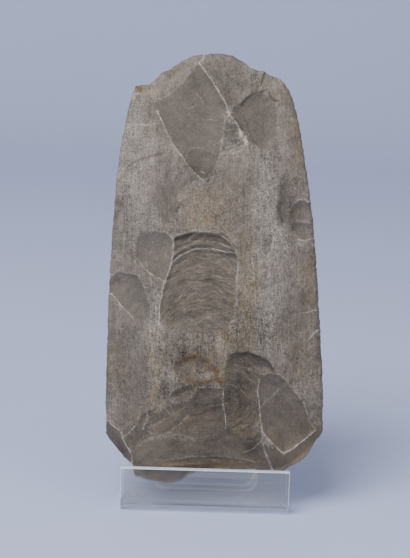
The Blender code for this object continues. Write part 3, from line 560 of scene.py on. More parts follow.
TONE_SPOTS = {
    # darker towards the bottom: partly the scars' darker colour, partly painted shade where the face turns
    # down
    "lower_half": (-0.095, (214, 405), (115, 95)),
    "middle_part": (-0.035, (214, 305), (115, 60)),
    "flake_point": (-0.14, (194, 178), (20, 15)),
    "smooth_patch": (-0.05, (167, 205), (11, 22)),
    "above_band": (-0.05, (246, 200), (12, 18)),
    "middle_flake": (-0.045, (205, 300), (32, 40)),
    "right_middle": (-0.03, (290, 300), (24, 45)),
    "under_flake_left": (-0.13, (181, 360), (10, 15)),
    "dark_scar": (-0.11, (196, 388), (20, 8)),
    "ripple_low": (-0.1, (230, 412), (16, 24)),
    "ripple_top": (-0.13, (246, 372), (14, 15)),
    "fork": (-0.12, (256, 442), (16, 15)),
    "corner_low_left": (-0.06, (119, 448), (14, 18)),
    "pit_band": (0.08, (212, 338), (14, 7)),
    "right_spot": (0.06, (294, 306), (8, 10)),
    "left_foot": (0.045, (133, 378), (12, 18)),
    "left_shoulder": (0.05, (140, 160), (12, 26)),
    "left_nick": (-0.03, (140, 412), (11, 12)),
    "shoulder": (0.06, (148, 140), (12, 20)),
    "over_flake": (0.06, (205, 227), (24, 8)),
    "leaf_top": (0.14, (266, 396), (8, 16)),
    "leaf": (0.075, (284, 412), (16, 20)),
    "right_scar": (0.15, (308, 220), (8, 12)),
    "right_low": (0.05, (294, 368), (8, 12)),
    "butt_right": (0.06, (252, 98), (7, 8)),
    "edge_strip": (0.12, (214, 468), (90, 7)),
    "butt_top": (-0.1, (216, 84), (24, 12)),
    "butt_far": (-0.05, (266, 82), (12, 12)),
    "butt_facet": (-0.09, (229, 96), (8, 16)),
    "oval": (-0.04, (262, 125), (12, 22)),
    "right_patch": (-0.15, (286, 201), (8.5, 25)),
    "flake_low": (-0.06, (210, 172), (9, 9)),
    "ring_over": (-0.06, (182, 343), (8, 10)),
    "ripple_foot": (-0.06, (217, 402), (10, 9)),
    "fork_side": (-0.06, (252, 441), (10, 12)),
    "corner_left": (-0.06, (119, 452), (8, 8)),
    "flake_left": (-0.05, (182, 146), (9, 9)),
    "butt_slope": (0.08, (182, 82), (12, 9)),
    "over_flake_low": (0.08, (210, 228), (12, 8)),
    "ledge_top": (0.06, (224, 243), (9, 5)),
    "ripple_over": (0.07, (252, 345), (7, 9)),
    "scar_low": (0.06, (308, 226), (6, 8)),
    "left_scar_side": (0.05, (168, 274), (6, 9)),
    "right_row": (0.03, (296, 370), (9, 9)),
    "left_scar_low": (0.045, (140, 298), (9, 10)),
    "flake_below": (-0.07, (218, 188), (20, 14)),
    "butt_middle": (0.05, (230, 78), (9, 9)),
    "crushed_dark": (-0.12, (231, 132), (6, 6)),
    "lined_light": (0.06, (232, 153), (9, 6)),
    "drop_inside": (-0.05, (266, 247), (5, 8)),
    "tan_foot": (0.06, (252, 350), (8, 12)),
    "oval_rim": (0.05, (280, 130), (5, 24)),
    "corner_right": (0.18, (298, 456), (18, 12)),
    "tip": (0.09, (165, 478), (26, 7)),
    "centre": (-0.085, (208, 222), (34, 18)),
    "butt_face": (-0.05, (242, 76), (22, 14)),
    "tan_band": (0.05, (247, 300), (9, 50)),
    "cream_band": (0.05, (157, 368), (9, 42)),
    "ripple_middle": (-0.085, (243, 400), (15, 30)),
}

SMOOTH_PATCHES = {
    "left_patch": (1, 0.8, (
        (158, 182), (166, 180), (176, 182), (180, 190), (179, 203), (177, 212), (175, 225), (162, 227),
        (160, 215), (152, 205), (155, 192),
    )),
    "low_left": (2, 0.45, ((112, 340), (140, 340), (150, 370), (140, 410), (124, 428), (112, 415))),
    "right_low": (2.5, 0.4, ((270, 290), (312, 290), (314, 340), (275, 330))),
}

# Grid of the fine worked sheet; a cell of the plainer back is as wide as three of the front.
GRID_ACROSS = 192
GRID_ALONG = 384
BACK_CELL = 3
WALL_STEPS = 7

# Uneven surfaces, each a sum of noise: height in mm, or a share of the depth that it is used with,
# then stretch across and along, size of a bump in mm, and seed.
UNEVEN = {
    "stray_across": ((0.30, 1, 1, 3.1, 20), (0.13, 1, 1, 1.1, 25)),
    "stray_along": ((0.30, 1, 1, 3.1, 21), (0.13, 1, 1, 1.1, 26)),
    "outline_wear": ((0.30, 1, 1, 2.6, 11), (0.09, 1, 1, 0.9, 12)),
    "butt_wear": ((1, 1, 1, 3.2, 13),),
    "side_wear": ((0.10, 1, 1, 2, 60),),
    "whole_face": ((0.045, 1, 1, 1.3, 40), (0.13, 1, 1, 6.5, 41)),
    "grinding": ((0.03, 1, 22, 0.7, 42), (0.05, 1, 1, 0.85, 50)),
    "grinding_waves": ((0.10, 1, 14, 3.4, 51),),
    "step_stray": ((0.8, 1, 1, 5, 43),),
    "step_bands": ((1, 6, 1, 0.95, 52), (0.6, 3, 1, 0.55, 53)),
    "ripple_stray": ((0.5, 1, 1, 3.5, 44),),
    "ripple_bands": ((1.1, 5, 1, 0.8, 54),),
    "leaf_stray": ((0.5, 1, 1, 5, 45),),
    "butt_stray": ((0.6, 1, 1, 6, 46),),
    "edge_layers": ((1, 9, 1, 1.1, 47),),
    "edge_thin_layers": ((0.6, 5, 1, 0.6, 48),),
    "edge_swirl": ((1, 3, 1, 2.2, 49),),
    "streak_stray": ((0.8, 1, 1, 3, 70),),
}

# Points that ripples run round, in mm from the centre line and above the lowest point.
BUTT_BLOW = (14, 150)
RIPPLE_BLOW = (4.4, 29)
LEAF_BLOW = (8, 8)

# The middle flake's arcs: their top, in mm from the centre line, and how widely they open.
ARC_TOP = -2.5
ARC_OPENING = 34

# Spacing and depth of the fine relief in mm.
STEP_SPACING, STEP_DEPTH = 2.9, 0.11
RIPPLE_SPACING, RIPPLE_DEPTH = 2.3, 0.075
LEAF_SPACING, LEAF_DEPTH = 4.1, 0.045
BUTT_SPACING, BUTT_DEPTH = 5.5, 0.04
LEDGE_DEPTH = 0.22
LAYER_DEPTH = 0.16
SWIRL_DEPTH = 0.10
GROOVE_DEPTH, GROOVE_WIDTH = 0.12, 0.4

# Heights in mm between which the fine relief comes in or fades out.
STEP_FOOT, STEP_HEAD = (50, 58), (78, 83)
LEDGE_FOOT = (70, 76)
RIPPLE_FOOT = (14, 28)
LAYER_HEAD = (6, 13)
SWIRL_FOOT = (14, 20)

# Wear of the butt: depth in mm, and the shares of the length between which it comes in.
BUTT_WEAR = 0.45
BUTT_WEAR_FROM, BUTT_WEAR_FULL = 0.90, 0.93

# The axe's side: how round it is, how soon the fields fade on it, and how far the streaks move in mm.
SIDE_ROUNDNESS = 0.7
SIDE_FADE = 1.6
SIDE_STREAK_SHIFT = 9.0

# Strength of the streaks on ground stone and how much weaker scars are; the plainer back's shares.
GROUND_STREAKS, WEAKER_IN_SCARS = 0.65, 0.4
BACK_SCAR_SHARE, BACK_RIM_SHARE, BACK_STREAKS = 0.6, 0.7, 0.6

# Height of the fine relief, in metres, that counts as one in the stone's finish, and the most that counts;
# the finish paints its hollows darker and its crests lighter as shade.
RELIEF_UNIT, MOST_RELIEF = 0.00015, 1.5

# Scars: look of one without an entry of its own, share of the lesser cut where two overlap, how far the
# soft border reaches outside as a share of its width, and the worn rim's width in mm, strength and share.
PLAIN_SCAR_LOOK = (0.35, 1.0)
OVERLAP = 0.25
SOFT_OUTSIDE = 0.6
RIM_WIDTH, RIM_STRENGTH, RIM_SHARE = 0.36, 0.35, 0.16

# Widths of drawn lines in mm where a line doesn't state its own.
LINE_WIDTHS = {"bright": (BRIGHT_LINES, 0.20), "rust": (RUST_LINES, 0.6), "dark": (DARK_LINES, 0.30)}


def lattice_noise(x, z, cell, seed, size=256, start=1000):
    """Smooth random height between -1 and 1 with bumps about one cell wide."""
    grid = np.random.default_rng(seed).random((size, size)) * 2 - 1
    gx, gz = x / cell + start, z / cell + start
    i, k = np.floor(gx).astype(int), np.floor(gz).astype(int)
    fx, fz = gx - i, gz - k
    fx, fz = fx * fx * (3 - 2 * fx), fz * fz * (3 - 2 * fz)
    i0, i1, k0, k1 = i % size, (i + 1) % size, k % size, (k + 1) % size
    low = grid[i0, k0] * (1 - fx) + grid[i1, k0] * fx
    high = grid[i0, k1] * (1 - fx) + grid[i1, k1] * fx
    return low * (1 - fz) + high * fz


def uneven(name, x, z):
    """Height in mm of a named uneven surface at places in mm."""
    return sum(
        height * lattice_noise(x / across, z / along, cell, seed)
        for height, across, along, cell, seed in UNEVEN[name]
    )


def step_up(value, low, high):
    """0 below low, 1 above high, smooth between."""
    f = np.clip((value - low) / (high - low), 0, 1)
    return f * f * (3 - 2 * f)


def step_down(value, low, high):
    """1 below low, 0 above high, smooth between."""
    return step_up(high - value, 0, high - low)


def smooth_curve(stations, position):
    """Smooth curve through (place, value) stations, read at any positions."""
    place, value = np.array(stations, float).T
    slope = np.gradient(value, place)
    position = np.clip(position, place[0], place[-1])
    i = np.clip(np.searchsorted(place, position, side="right") - 1, 0, len(place) - 2)
    step = place[i + 1] - place[i]
    f = (position - place[i]) / step
    from_near = 2 * f**3 - 3 * f**2 + 1
    near_slope = f**3 - 2 * f**2 + f
    from_far = -2 * f**3 + 3 * f**2
    far_slope = f**3 - f**2
    ends = from_near * value[i] + near_slope * step * slope[i]
    return ends + from_far * value[i + 1] + far_slope * step * slope[i + 1]


def outline_line(points, count, weights):
    """One side of the outline in metres, spread evenly along the weighted run."""
    corners = np.array(points, float) / 100.0 * (AXE_WIDTH / 2, AXE_LENGTH)
    steps = np.abs(np.diff(corners, axis=0)) @ np.array(weights)
    run = np.concatenate([[0], np.cumsum(steps)])
    at = np.linspace(0, run[-1], count + 1)
    return np.stack([smooth_curve(list(zip(run, part)), at) for part in corners.T], axis=1)


def outline_loop():
    """Closed outline: cutting edge left to right, right side up, butt to the left, left side down."""
    across, along = (1.0, 0.1), (0.1, 1.0)
    bottom = outline_line(CUTTING_EDGE, GRID_ACROSS, across)
    right = outline_line(RIGHT_SIDE, GRID_ALONG, along)
    top = outline_line(BUTT, GRID_ACROSS, across)[::-1]
    left = outline_line(LEFT_SIDE, GRID_ALONG, along)[::-1]
    return np.concatenate([bottom[:-1], right[:-1], top[:-1], left[:-1]])


def loop_normals(loop, reach=6):
    """Outward direction at each point of the outline, read over its neighbours."""
    along = np.roll(loop, -reach, axis=0) - np.roll(loop, reach, axis=0)
    normal = np.stack([along[:, 1], -along[:, 0]], axis=1)
    return normal / np.linalg.norm(normal, axis=1)[:, None]


def worn_outline():
    """The outline with a little wear, most of it at the butt."""
    loop = outline_loop()
    x, z = loop.T * 1000
    wear = np.abs(uneven("outline_wear", x, z))
    butt = step_up(loop[:, 1], BUTT_WEAR_FROM * AXE_LENGTH, BUTT_WEAR_FULL * AXE_LENGTH)
    wear += BUTT_WEAR * butt * np.abs(uneven("butt_wear", x, z)) ** 0.7
    return loop - loop_normals(loop) * (wear / 1000)[:, None]


def rim_loop(loop):
    """The face's own border, set in from the outline by the rounding of the sides."""
    height = loop[:, 1] / AXE_LENGTH
    share = np.clip((height - EDGE_SHARE) / EDGE_SHARE, 0, 1)
    inset = EDGE_ROUNDING + (SIDE_ROUNDING - EDGE_ROUNDING) * share
    return loop - loop_normals(loop) * inset[:, None]


def patch(rim):
    """Points of a face, spread between its four borders."""
    across, along = GRID_ACROSS, GRID_ALONG
    bottom = rim[: across + 1]
    right = rim[across : across + along + 1]
    top = rim[across + along : 2 * across + along + 1][::-1]
    left = np.concatenate([rim[2 * across + along :], rim[:1]])[::-1]
    s = np.linspace(0, 1, across + 1)[:, None, None]
    t = np.linspace(0, 1, along + 1)[None, :, None]
    ruled = (1 - t) * bottom[:, None] + t * top[:, None] + (1 - s) * left[None] + s * right[None]
    corners = (1 - s) * (1 - t) * bottom[0] + s * (1 - t) * bottom[-1]
    corners = corners + (1 - s) * t * top[0] + s * t * top[-1]
    return ruled - corners


def border_distance(points, corners, closed=True):
    """Distance of points to a line, and which of them lie inside it."""
    inside = np.zeros(len(points), bool)
    nearest = np.full(len(points), np.inf)
    pairs = zip(corners, np.roll(corners, -1, axis=0)) if closed else zip(corners[:-1], corners[1:])
    for a, b in pairs:
        side = b - a
        f = np.clip(((points - a) @ side) / (side @ side), 0, 1)
        nearest = np.minimum(nearest, np.linalg.norm(points - a - f[:, None] * side, axis=1))
        crosses = (a[1] > points[:, 1]) != (b[1] > points[:, 1])
        rise = side[1] if side[1] != 0 else np.inf
        inside ^= crosses & (points[:, 0] < a[0] + (points[:, 1] - a[1]) / rise * side[0])
    return nearest, inside


def soft_share(nearest_mm, inside, soft):
    """1 well inside a border, 0 outside it, over a soft width in mm."""
    return step_up(np.where(inside, nearest_mm, -nearest_mm), -SOFT_OUTSIDE * soft, soft)


def scar_fields(points, scars):
    """Depth of the flake scars, the share of each point that is scarred, and their borders."""
    size = np.array([AXE_WIDTH / 2, AXE_LENGTH]) / 100.0
    depth, scarred, border = np.zeros((3, len(points)))
    within = {}
    for name, (deep, slope, growth, corners) in scars.items():
        corners = np.array(corners, float) * size
        nearest, inside = border_distance(points, corners)
        distance = np.where(inside, nearest, 0.0)
        bowl = 1 - (1 - np.minimum(distance / (slope / 1000), 1)) ** 2
        middle = (corners.min(axis=0) + corners.max(axis=0)) / 2
        reach = (corners.max(axis=0) - corners.min(axis=0)) / 2
        share = np.clip(1 + ((points - middle) / reach) @ np.array(growth, float), 0, 2)
        cut = deep / 1000 * bowl * share
        depth = np.maximum(depth, cut) + OVERLAP * np.minimum(depth, cut)
        soft, smooth = SCAR_LOOKS.get(name, PLAIN_SCAR_LOOK)
        within[name] = soft_share(nearest * 1000, inside, soft)
        scarred = np.maximum(scarred, smooth * within[name] * np.minimum(share + 0.3, 1))
        rim = np.exp(-((nearest * 1000 / RIM_WIDTH) ** 2)) * np.minimum(share, 1)
        border = np.maximum(border, rim * smooth * RIM_STRENGTH / soft)
    return depth, scarred, border, within


def evened(line, reach):
    """The line without its small steps, averaged over its neighbours."""
    for _ in range(2):
        wide = np.pad(line, reach, mode="edge")
        line = np.convolve(wide, np.ones(2 * reach + 1) / (2 * reach + 1), mode="valid")
    return line


def half_thickness(face):
    """Half thickness of the unflaked axe over the face."""
    s = np.linspace(0, 1, GRID_ACROSS + 1)[:, None]
    height = face[:, :, 1]
    foot, head = (evened(height[:, end], GRID_ACROSS // 14)[:, None] for end in (0, -1))
    t = np.clip((height - foot) / (head - foot), 0, 1)
    edge = EDGE_THICKNESS / 2
    middle = edge + (AXE_THICKNESS / 2 - edge) * smooth_curve(MIDDLE_SWELL, t)
    side = edge + (SIDE_THICKNESS / 2 - edge) * smooth_curve(SIDE_SWELL, t)
    return side + (middle - side) * (1 - np.abs(2 * s - 1) ** 2.6)


def on_face(pixels):
    """Points of the picture in mm from the axe's centre line and lowest point."""
    return (np.array(pixels, float) - AXE_FOOT) * (MM_PER_PIXEL, -MM_PER_PIXEL)


def wandering(points):
    """The same points shifted a little, so that borders and lines run unevenly."""
    x, z = points.T * 1000
    shift = np.stack([uneven("stray_across", x, z), uneven("stray_along", x, z)], axis=1)
    return points + shift / 1000


def entries_of(lines, width):
    """Strength, width and corners in mm of each drawn line."""
    for entry in lines.values():
        strength, broad, corners = entry if len(entry) == 3 else (entry[0], width, entry[1])
        yield strength, broad, on_face(corners)


def line_field(points_mm, lines, width):
    """Strength of a set of drawn lines at each point."""
    field = np.zeros(len(points_mm))
    for strength, broad, corners in entries_of(lines, width):
        nearest = border_distance(points_mm, corners, closed=False)[0]
        field = np.maximum(field, strength * np.exp(-((nearest / broad) ** 2)))
    return field


def line_sides(points_mm, lines, width, far=99.0, most=6, end_width=0.4):
    """Distance to the nearest drawn line in line widths, with a sign for its side, and its strength."""
    side = np.full(len(points_mm), far)
    strength = np.zeros(len(points_mm))
    for strong, broad, corners in entries_of(lines, width):
        last = len(corners) - 2
        for k, (a, b) in enumerate(zip(corners[:-1], corners[1:])):
            length = np.linalg.norm(b - a)
            along = (points_mm - a) @ (b - a) / length
            beside = (points_mm - a) @ np.array([b[1] - a[1], a[0] - b[0]]) / length
            before, after = np.maximum(-along, 0), np.maximum(along - length, 0)
            distance = np.hypot(beside, before + after)
            end = (before if k == 0 else 0) + (after if k == last else 0)
            fade = (end / end_width) ** 2 + (distance / max(0.9, 2.2 * broad)) ** 2
            nearer = distance < np.abs(side) * broad
            side = np.where(nearer, np.copysign(distance, beside) / broad, side)
            strength = np.where(nearer, strong * np.exp(-fade), strength)
    return np.clip(side, -most, most), strength


def spot_field(points_mm, spots):
    """Sum of soft round spots at each point."""
    field = np.zeros(len(points_mm))
    for strength, centre, radius in spots.values():
        q = (((points_mm - on_face(centre)) / MM_PER_PIXEL / radius) ** 2).sum(axis=1)
        field += strength * np.exp(-(q**1.4))
    return field


def around(blow, x, z, reach=1):
    """Way round a blow's point, in mm at a set distance from it, and the distance from the point."""
    x, z = x - blow[0], z - blow[1]
    return np.arctan2(z, x) * reach, np.hypot(x, z)


def arc_drop(x):
    """How far the middle flake's arcs hang below their top."""
    return (x - ARC_TOP) ** 2 / ARC_OPENING


def wave(distance, spacing, start=0):
    """Even ripples between -1 and 1."""
    return np.sin(distance * 2 * math.pi / spacing + start)


def edge_streaks(x, z, rise=0.22, start=-28, hook=5.5, hook_at=-9.2, hook_width=3.2, sag=0.02, top=-8):
    """Place across the edge flake's streaks: layers that sag to both sides, and a swirl above them."""
    swirl = rise * (x - start) + hook * np.exp(np.minimum((x - hook_at) / hook_width, 0))
    layers = -sag * (x - top) ** 2
    upper = step_up(z, *SWIRL_FOOT)
    return z - swirl * upper - layers * (1 - upper)


def flow_of(points, within):
    """Place along and across the fine streaks: upright on ground stone, curved in the scars."""
    x, z = points.T * 1000
    along, across = z.copy(), x.copy()
    curved = {
        "butt_flake": (0.5, *around(BUTT_BLOW, x, z, 40)),
        "left_upper": (0.3, x - 0.5 * z, z + 0.5 * x),
        "left_lower": (0.35, x + 0.6 * z, z - 0.6 * x),
        "middle_flake": (1.0, x * 1.1, z + arc_drop(x) + uneven("streak_stray", x, z)),
        "edge_flake": (0.45, x, edge_streaks(x, z)),
        "ripple_flake": (0.80, *around(RIPPLE_BLOW, x, z, 12)),
        "leaf_flake": (0.25, *around(LEAF_BLOW, x, z, 18)),
    }
    share = GROUND_STREAKS - WEAKER_IN_SCARS * np.maximum.reduce(list(within.values()))
    for name, (amount, u, v) in curved.items():
        inside = within[name] > 0.5
        along[inside], across[inside], share[inside] = u[inside], v[inside], amount
    return along, across, share


def fine_cut(points, within):
    """Ripples, ledges, scratches and grain of the worked face, in metres below it."""
    x, z = points.T * 1000
    unscarred = 1 - np.maximum.reduce(list(within.values()))
    cut = uneven("whole_face", x, z)
    cut += uneven("grinding", x, z) * unscarred
    cut += uneven("grinding_waves", x, z) * unscarred
    phase = z + arc_drop(x) + uneven("step_stray", x, z)
    steps = 0.22 * wave(phase, STEP_SPACING) + 1.25 * uneven("step_bands", x, phase)
    cut += STEP_DEPTH * steps * within["middle_step"] * step_up(z, *STEP_FOOT) * step_down(z, *STEP_HEAD)
    ledge = within["middle_flake"] * (1 - within["middle_step"]) * step_up(z, *LEDGE_FOOT)
    cut += LEDGE_DEPTH * wave(phase, STEP_SPACING, 0.8) * ledge
    ring = around(RIPPLE_BLOW, x, z)[1] + uneven("ripple_stray", x, z)
    curl = 0.5 * wave(ring, RIPPLE_SPACING) + uneven("ripple_bands", x, ring)
    cut += RIPPLE_DEPTH * curl * within["ripple_flake"] * step_up(z, *RIPPLE_FOOT)
    arcs = around(LEAF_BLOW, x, z)[1] + uneven("leaf_stray", x, z)
    cut += LEAF_DEPTH * wave(arcs, LEAF_SPACING) * within["leaf_flake"]
    bulb = around(BUTT_BLOW, x, z)[1] + uneven("butt_stray", x, z)
    cut += BUTT_DEPTH * wave(bulb, BUTT_SPACING) * within["butt_flake"]
    layers = uneven("edge_layers", x, z + 0.02 * x) + uneven("edge_thin_layers", x, z)
    cut += LAYER_DEPTH * layers * within["edge_flake"] * step_down(z, *LAYER_HEAD)
    swirl = uneven("edge_swirl", x, z - 0.25 * x + 0.012 * x * x)
    cut += SWIRL_DEPTH * swirl * within["edge_flake"]
    return cut / 1000


def worked_fields(strayed, scar, border, fine, within):
    """What the stone's finish reads on the worked face."""
    points_mm = strayed * 1000
    for soft, smooth, corners in SMOOTH_PATCHES.values():
        nearest, inside = border_distance(points_mm, on_face(corners))
        scar = np.maximum(scar, smooth * soft_share(nearest, inside, soft))
    fields = {
        "scar": scar,
        # Depth of the fine relief, which the finish turns into painted shade.
        "relief": np.clip(fine / -RELIEF_UNIT, -MOST_RELIEF, MOST_RELIEF),
        "border": RIM_SHARE * border,
        "warm": spot_field(points_mm, WARM_SPOTS),
        "pale": spot_field(points_mm, PALE_SPOTS),
        "tone": spot_field(points_mm, TONE_SPOTS),
    }
    for name, (lines, width) in LINE_WIDTHS.items():
        fields[name + "_side"], fields[name] = line_sides(points_mm, lines, width)
    fields["flow_along"], fields["flow_across"], fields["flow_share"] = flow_of(strayed, within)
    return fields


def carved_faces(face):
    """Points of the worked face and of the back, and the fields on both."""
    flat = face.reshape(-1, 2)
    half = half_thickness(face).reshape(-1)
    spare = np.maximum(half - LEAST_STONE / 2, 1e-6)
    strayed = wandering(flat)
    front_depth, front_scar, front_border, within = scar_fields(strayed, FRONT_SCARS)
    back_depth, back_scar, back_border, _ = scar_fields(strayed, BACK_SCARS)
    fine = fine_cut(strayed, within)
    front_depth = front_depth + np.maximum(fine, -0.5 * spare)
    front_depth += GROOVE_DEPTH / 1000 * line_field(strayed * 1000, DARK_LINES, GROOVE_WIDTH)
    front_cut, back_cut = (spare * (1 - np.exp(-depth / spare)) for depth in (front_depth, back_depth))
    low = np.clip(1 - flat[:, 1] / (2 * EDGE_SHARE * AXE_LENGTH), 0, 1)
    bow = EDGE_BOW * np.sin(flat[:, 0] / AXE_WIDTH * 9 + 1) * low
    front = np.stack([flat[:, 0], bow - half + front_cut, flat[:, 1]], axis=1)
    back = np.stack([flat[:, 0], bow + half - back_cut, flat[:, 1]], axis=1)
    front_fields = worked_fields(strayed, front_scar, front_border, fine, within)
    back_fields = {name: np.zeros(len(flat)) for name in front_fields}
    back_fields |= {"scar": BACK_SCAR_SHARE * back_scar, "border": BACK_RIM_SHARE * back_border}
    back_fields |= {"flow_along": flat[:, 1] * 1000, "flow_across": flat[:, 0] * 1000}
    back_fields["flow_share"] = np.full(len(flat), BACK_STREAKS)
    return front, back, strayed, front_fields, back_fields


def grid_number(i, k):
    """Number of the face's point in column i and row k."""
    return i * (GRID_ALONG + 1) + k


def border_numbers():
    """Numbers of the face's outer points, in the order of the outline."""
    border = [grid_number(i, 0) for i in range(GRID_ACROSS)]
    border += [grid_number(GRID_ACROSS, k) for k in range(GRID_ALONG)]
    border += [grid_number(i, GRID_ALONG) for i in range(GRID_ACROSS, 0, -1)]
    border += [grid_number(0, k) for k in range(GRID_ALONG, 0, -1)]
    return border


def squares(step):
    """Corners of each square of the face's grid, with sides of a number of cells."""
    for i in range(0, GRID_ACROSS, step):
        for k in range(0, GRID_ALONG, step):
            far_i, far_k = i + step, k + step
            yield grid_number(i, k), grid_number(far_i, k), grid_number(far_i, far_k), grid_number(i, far_k)


def side_ring(step, near, far, out, strayed_mm):
    """One ring of points round the axe's side, and how far it lies on the way to the back."""
    turn = math.pi * step / WALL_STEPS
    shift = (1 - math.copysign(abs(math.cos(turn)) ** SIDE_ROUNDNESS, math.cos(turn))) / 2
    ring = near + (far - near) * shift
    level = np.full(len(near), step * 2.0)
    wear = np.abs(uneven("side_wear", strayed_mm.sum(axis=1), level))
    ring[:, [0, 2]] += out * (math.sin(turn) ** SIDE_ROUNDNESS * (1 - wear))[:, None]
    return ring, shift


def side_value(name, values, shift):
    """A field on the axe's side: streaks run on, and all else fades towards the back."""
    if name.startswith("flow") or name.endswith("side"):
        return values + SIDE_STREAK_SHIFT * shift * (name == "flow_across")
    return values * max(0.0, 1 - SIDE_FADE * shift)


def seam(ring, corners):
    """Faces between a fine ring and the back's border, which has one corner for each cell."""
    middle = BACK_CELL // 2
    for number, (here, there) in enumerate(zip(corners, corners[1:] + corners[:1])):
        for m in range(BACK_CELL):
            first = ring[number * BACK_CELL + m]
            second = ring[(number * BACK_CELL + m + 1) % len(ring)]
            yield first, here if m <= middle else there, second
            if m == middle:
                yield second, here, there


def build_axe_mesh():
    """Points, faces and fields of the upright axe, with its lowest point at the origin."""
    loop = worn_outline()
    rim = rim_loop(loop)
    front, back, strayed, front_fields, back_fields = carved_faces(patch(rim))
    border = border_numbers()
    count = len(border)
    points = [front]
    fields = {name: [values] for name, values in front_fields.items()}
    rings = [border]
    for step in range(1, WALL_STEPS):
        ring, shift = side_ring(step, front[border], back[border], loop - rim, strayed[border] * 1000)
        first = len(front) + (step - 1) * count
        rings.append(list(range(first, first + count)))
        points.append(ring)
        for name, values in front_fields.items():
            fields[name].append(side_value(name, values[border], shift))
    rows = range(0, GRID_ALONG + 1, BACK_CELL)
    kept = [grid_number(i, k) for i in range(0, GRID_ACROSS + 1, BACK_CELL) for k in rows]
    first = rings[-1][-1] + 1
    number = {point: first + place for place, point in enumerate(kept)}
    points.append(back[kept])
    for name, values in back_fields.items():
        fields[name].append(values[kept])
    faces = list(squares(1))
    for near, far in zip(rings[:-1], rings[1:]):
        ahead, far_ahead = near[1:] + near[:1], far[1:] + far[:1]
        faces += zip(near, far, far_ahead, ahead)
    faces += [(number[a], number[d], number[c], number[b]) for a, b, c, d in squares(BACK_CELL)]
    faces += seam(rings[-1], [number[point] for point in border[::BACK_CELL]])
    return np.concatenate(points), faces, {name: np.concatenate(parts) for name, parts in fields.items()}


def upright_to_row(points):
    """Turns the upright axe a little to the left and leans it back."""
    turn, lean = math.radians(TURN_DEG), math.radians(LEAN_DEG)
    x, y, z = points.T
    x, z = x * math.cos(turn) - z * math.sin(turn), z * math.cos(turn) + x * math.sin(turn)
    y, z = y * math.cos(lean) + z * math.sin(lean), z * math.cos(lean) - y * math.sin(lean)
    return np.stack([x, y, z], axis=1)


def into_mesh(work, mesh):
    """Writes a worked mesh back with its faces pointing out."""
    bmesh.ops.recalc_face_normals(work, faces=work.faces)
    work.to_mesh(mesh)
    work.free()


def new_object(name, verts, faces, smooth=True):
    """A piece in the scene, made from points and faces, with its faces pointing out."""
    mesh = bpy.data.meshes.new(name)
    mesh.from_pydata([tuple(v) for v in verts], [], faces)
    mesh.validate()
    work = bmesh.new()
    work.from_mesh(mesh)
    into_mesh(work, mesh)
    mesh.polygons.foreach_set("use_smooth", [smooth] * len(mesh.polygons))
    piece = bpy.data.objects.new(name, mesh)
    bpy.context.scene.collection.objects.link(piece)
    return piece


def vertices_of(piece):
    points = np.empty(len(piece.data.vertices) * 3)
    piece.data.vertices.foreach_get("co", points)
    return points.reshape(-1, 3)


def box_of(node):
    """Lowest and highest corner of a node of the solid model."""
    points = vertices_of(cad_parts[node])
    return points.min(axis=0), points.max(axis=0)


def build_axe():
    """The axe in its place, with the upright places and the fields as attributes."""
    points, faces, fields = build_axe_mesh()
    leaning = upright_to_row(points)
    low, high = box_of("axe")
    middle = (leaning.min(axis=0) + leaning.max(axis=0)) / 2
    shift = (low + high) / 2 - middle
    axe = new_object("stone_axe", leaning + shift, faces)
    mesh = axe.data
    place = mesh.attributes.new("place", "FLOAT_VECTOR", "POINT")
    place.data.foreach_set("vector", (points * 1000).reshape(-1))
    for name, values in fields.items():
        mesh.attributes.new(name, "FLOAT", "POINT").data.foreach_set("value", values)
    return axe, shift


class Term:
    """A value inside a material that can be added, multiplied and mixed in plain sums."""

    def __init__(self, tree, socket):
        self.tree = tree
        self.socket = socket

    def _sum(self, operation, *values):
        return Bench(self.tree).make("ShaderNodeMath", {"operation": operation}, 0, enumerate(values))

    def __add__(self, other):
        return self._sum("ADD", self, other)

    def __sub__(self, other):
        return self._sum("SUBTRACT", self, other)

    def __rsub__(self, other):
        return self._sum("SUBTRACT", other, self)

    def __mul__(self, other):
        return self._sum("MULTIPLY", self, other)

    def __abs__(self):
        return self._sum("ABSOLUTE", self)

    __radd__ = __add__
    __rmul__ = __mul__

    def centred(self):
        """A noise value as a difference from its middle."""
        return self - 0.5

    def clipped(self):
        return self._sum("MINIMUM", self._sum("MAXIMUM", self, 0.0), 1.0)

    def rising(self, low, high):
        """0 below low, 1 above high, smooth between."""
        smooth = {"interpolation_type": "SMOOTHSTEP"}
        return Bench(self.tree).make(
            "ShaderNodeMapRange", smooth, "Result", Value=self, From_Min=low, From_Max=high
        )

    def near(self, low, high):
        """1 where the value is close to 0, falling to 0 from low to high on both sides."""
        return 1.0 - abs(self).rising(low, high)


class Bench:
    """A node tree under construction."""

    def __init__(self, tree):
        self.tree = tree

    def make(self, kind, settings, output, numbered=(), **named):
        """One node: its settings first, then its sockets by number or name; all outputs for None."""
        node = self.tree.nodes.new(kind)
        for key, value in settings.items():
            setattr(node, key, value)
        sockets = dict(numbered) | {key.replace("_", " "): value for key, value in named.items()}
        for key, value in sockets.items():
            self.put(node.inputs[key], value)
        if output is None:
            return {socket.name: Term(self.tree, socket) for socket in node.outputs if socket.name}
        return Term(self.tree, node.outputs[output])

    def put(self, slot, value):
        """Gives a socket a number or colour, a link, or a list of links."""
        for one in value if isinstance(value, list) else [value]:
            if isinstance(one, Term):
                self.tree.links.new(one.socket, slot)
            else:
                slot.default_value = one


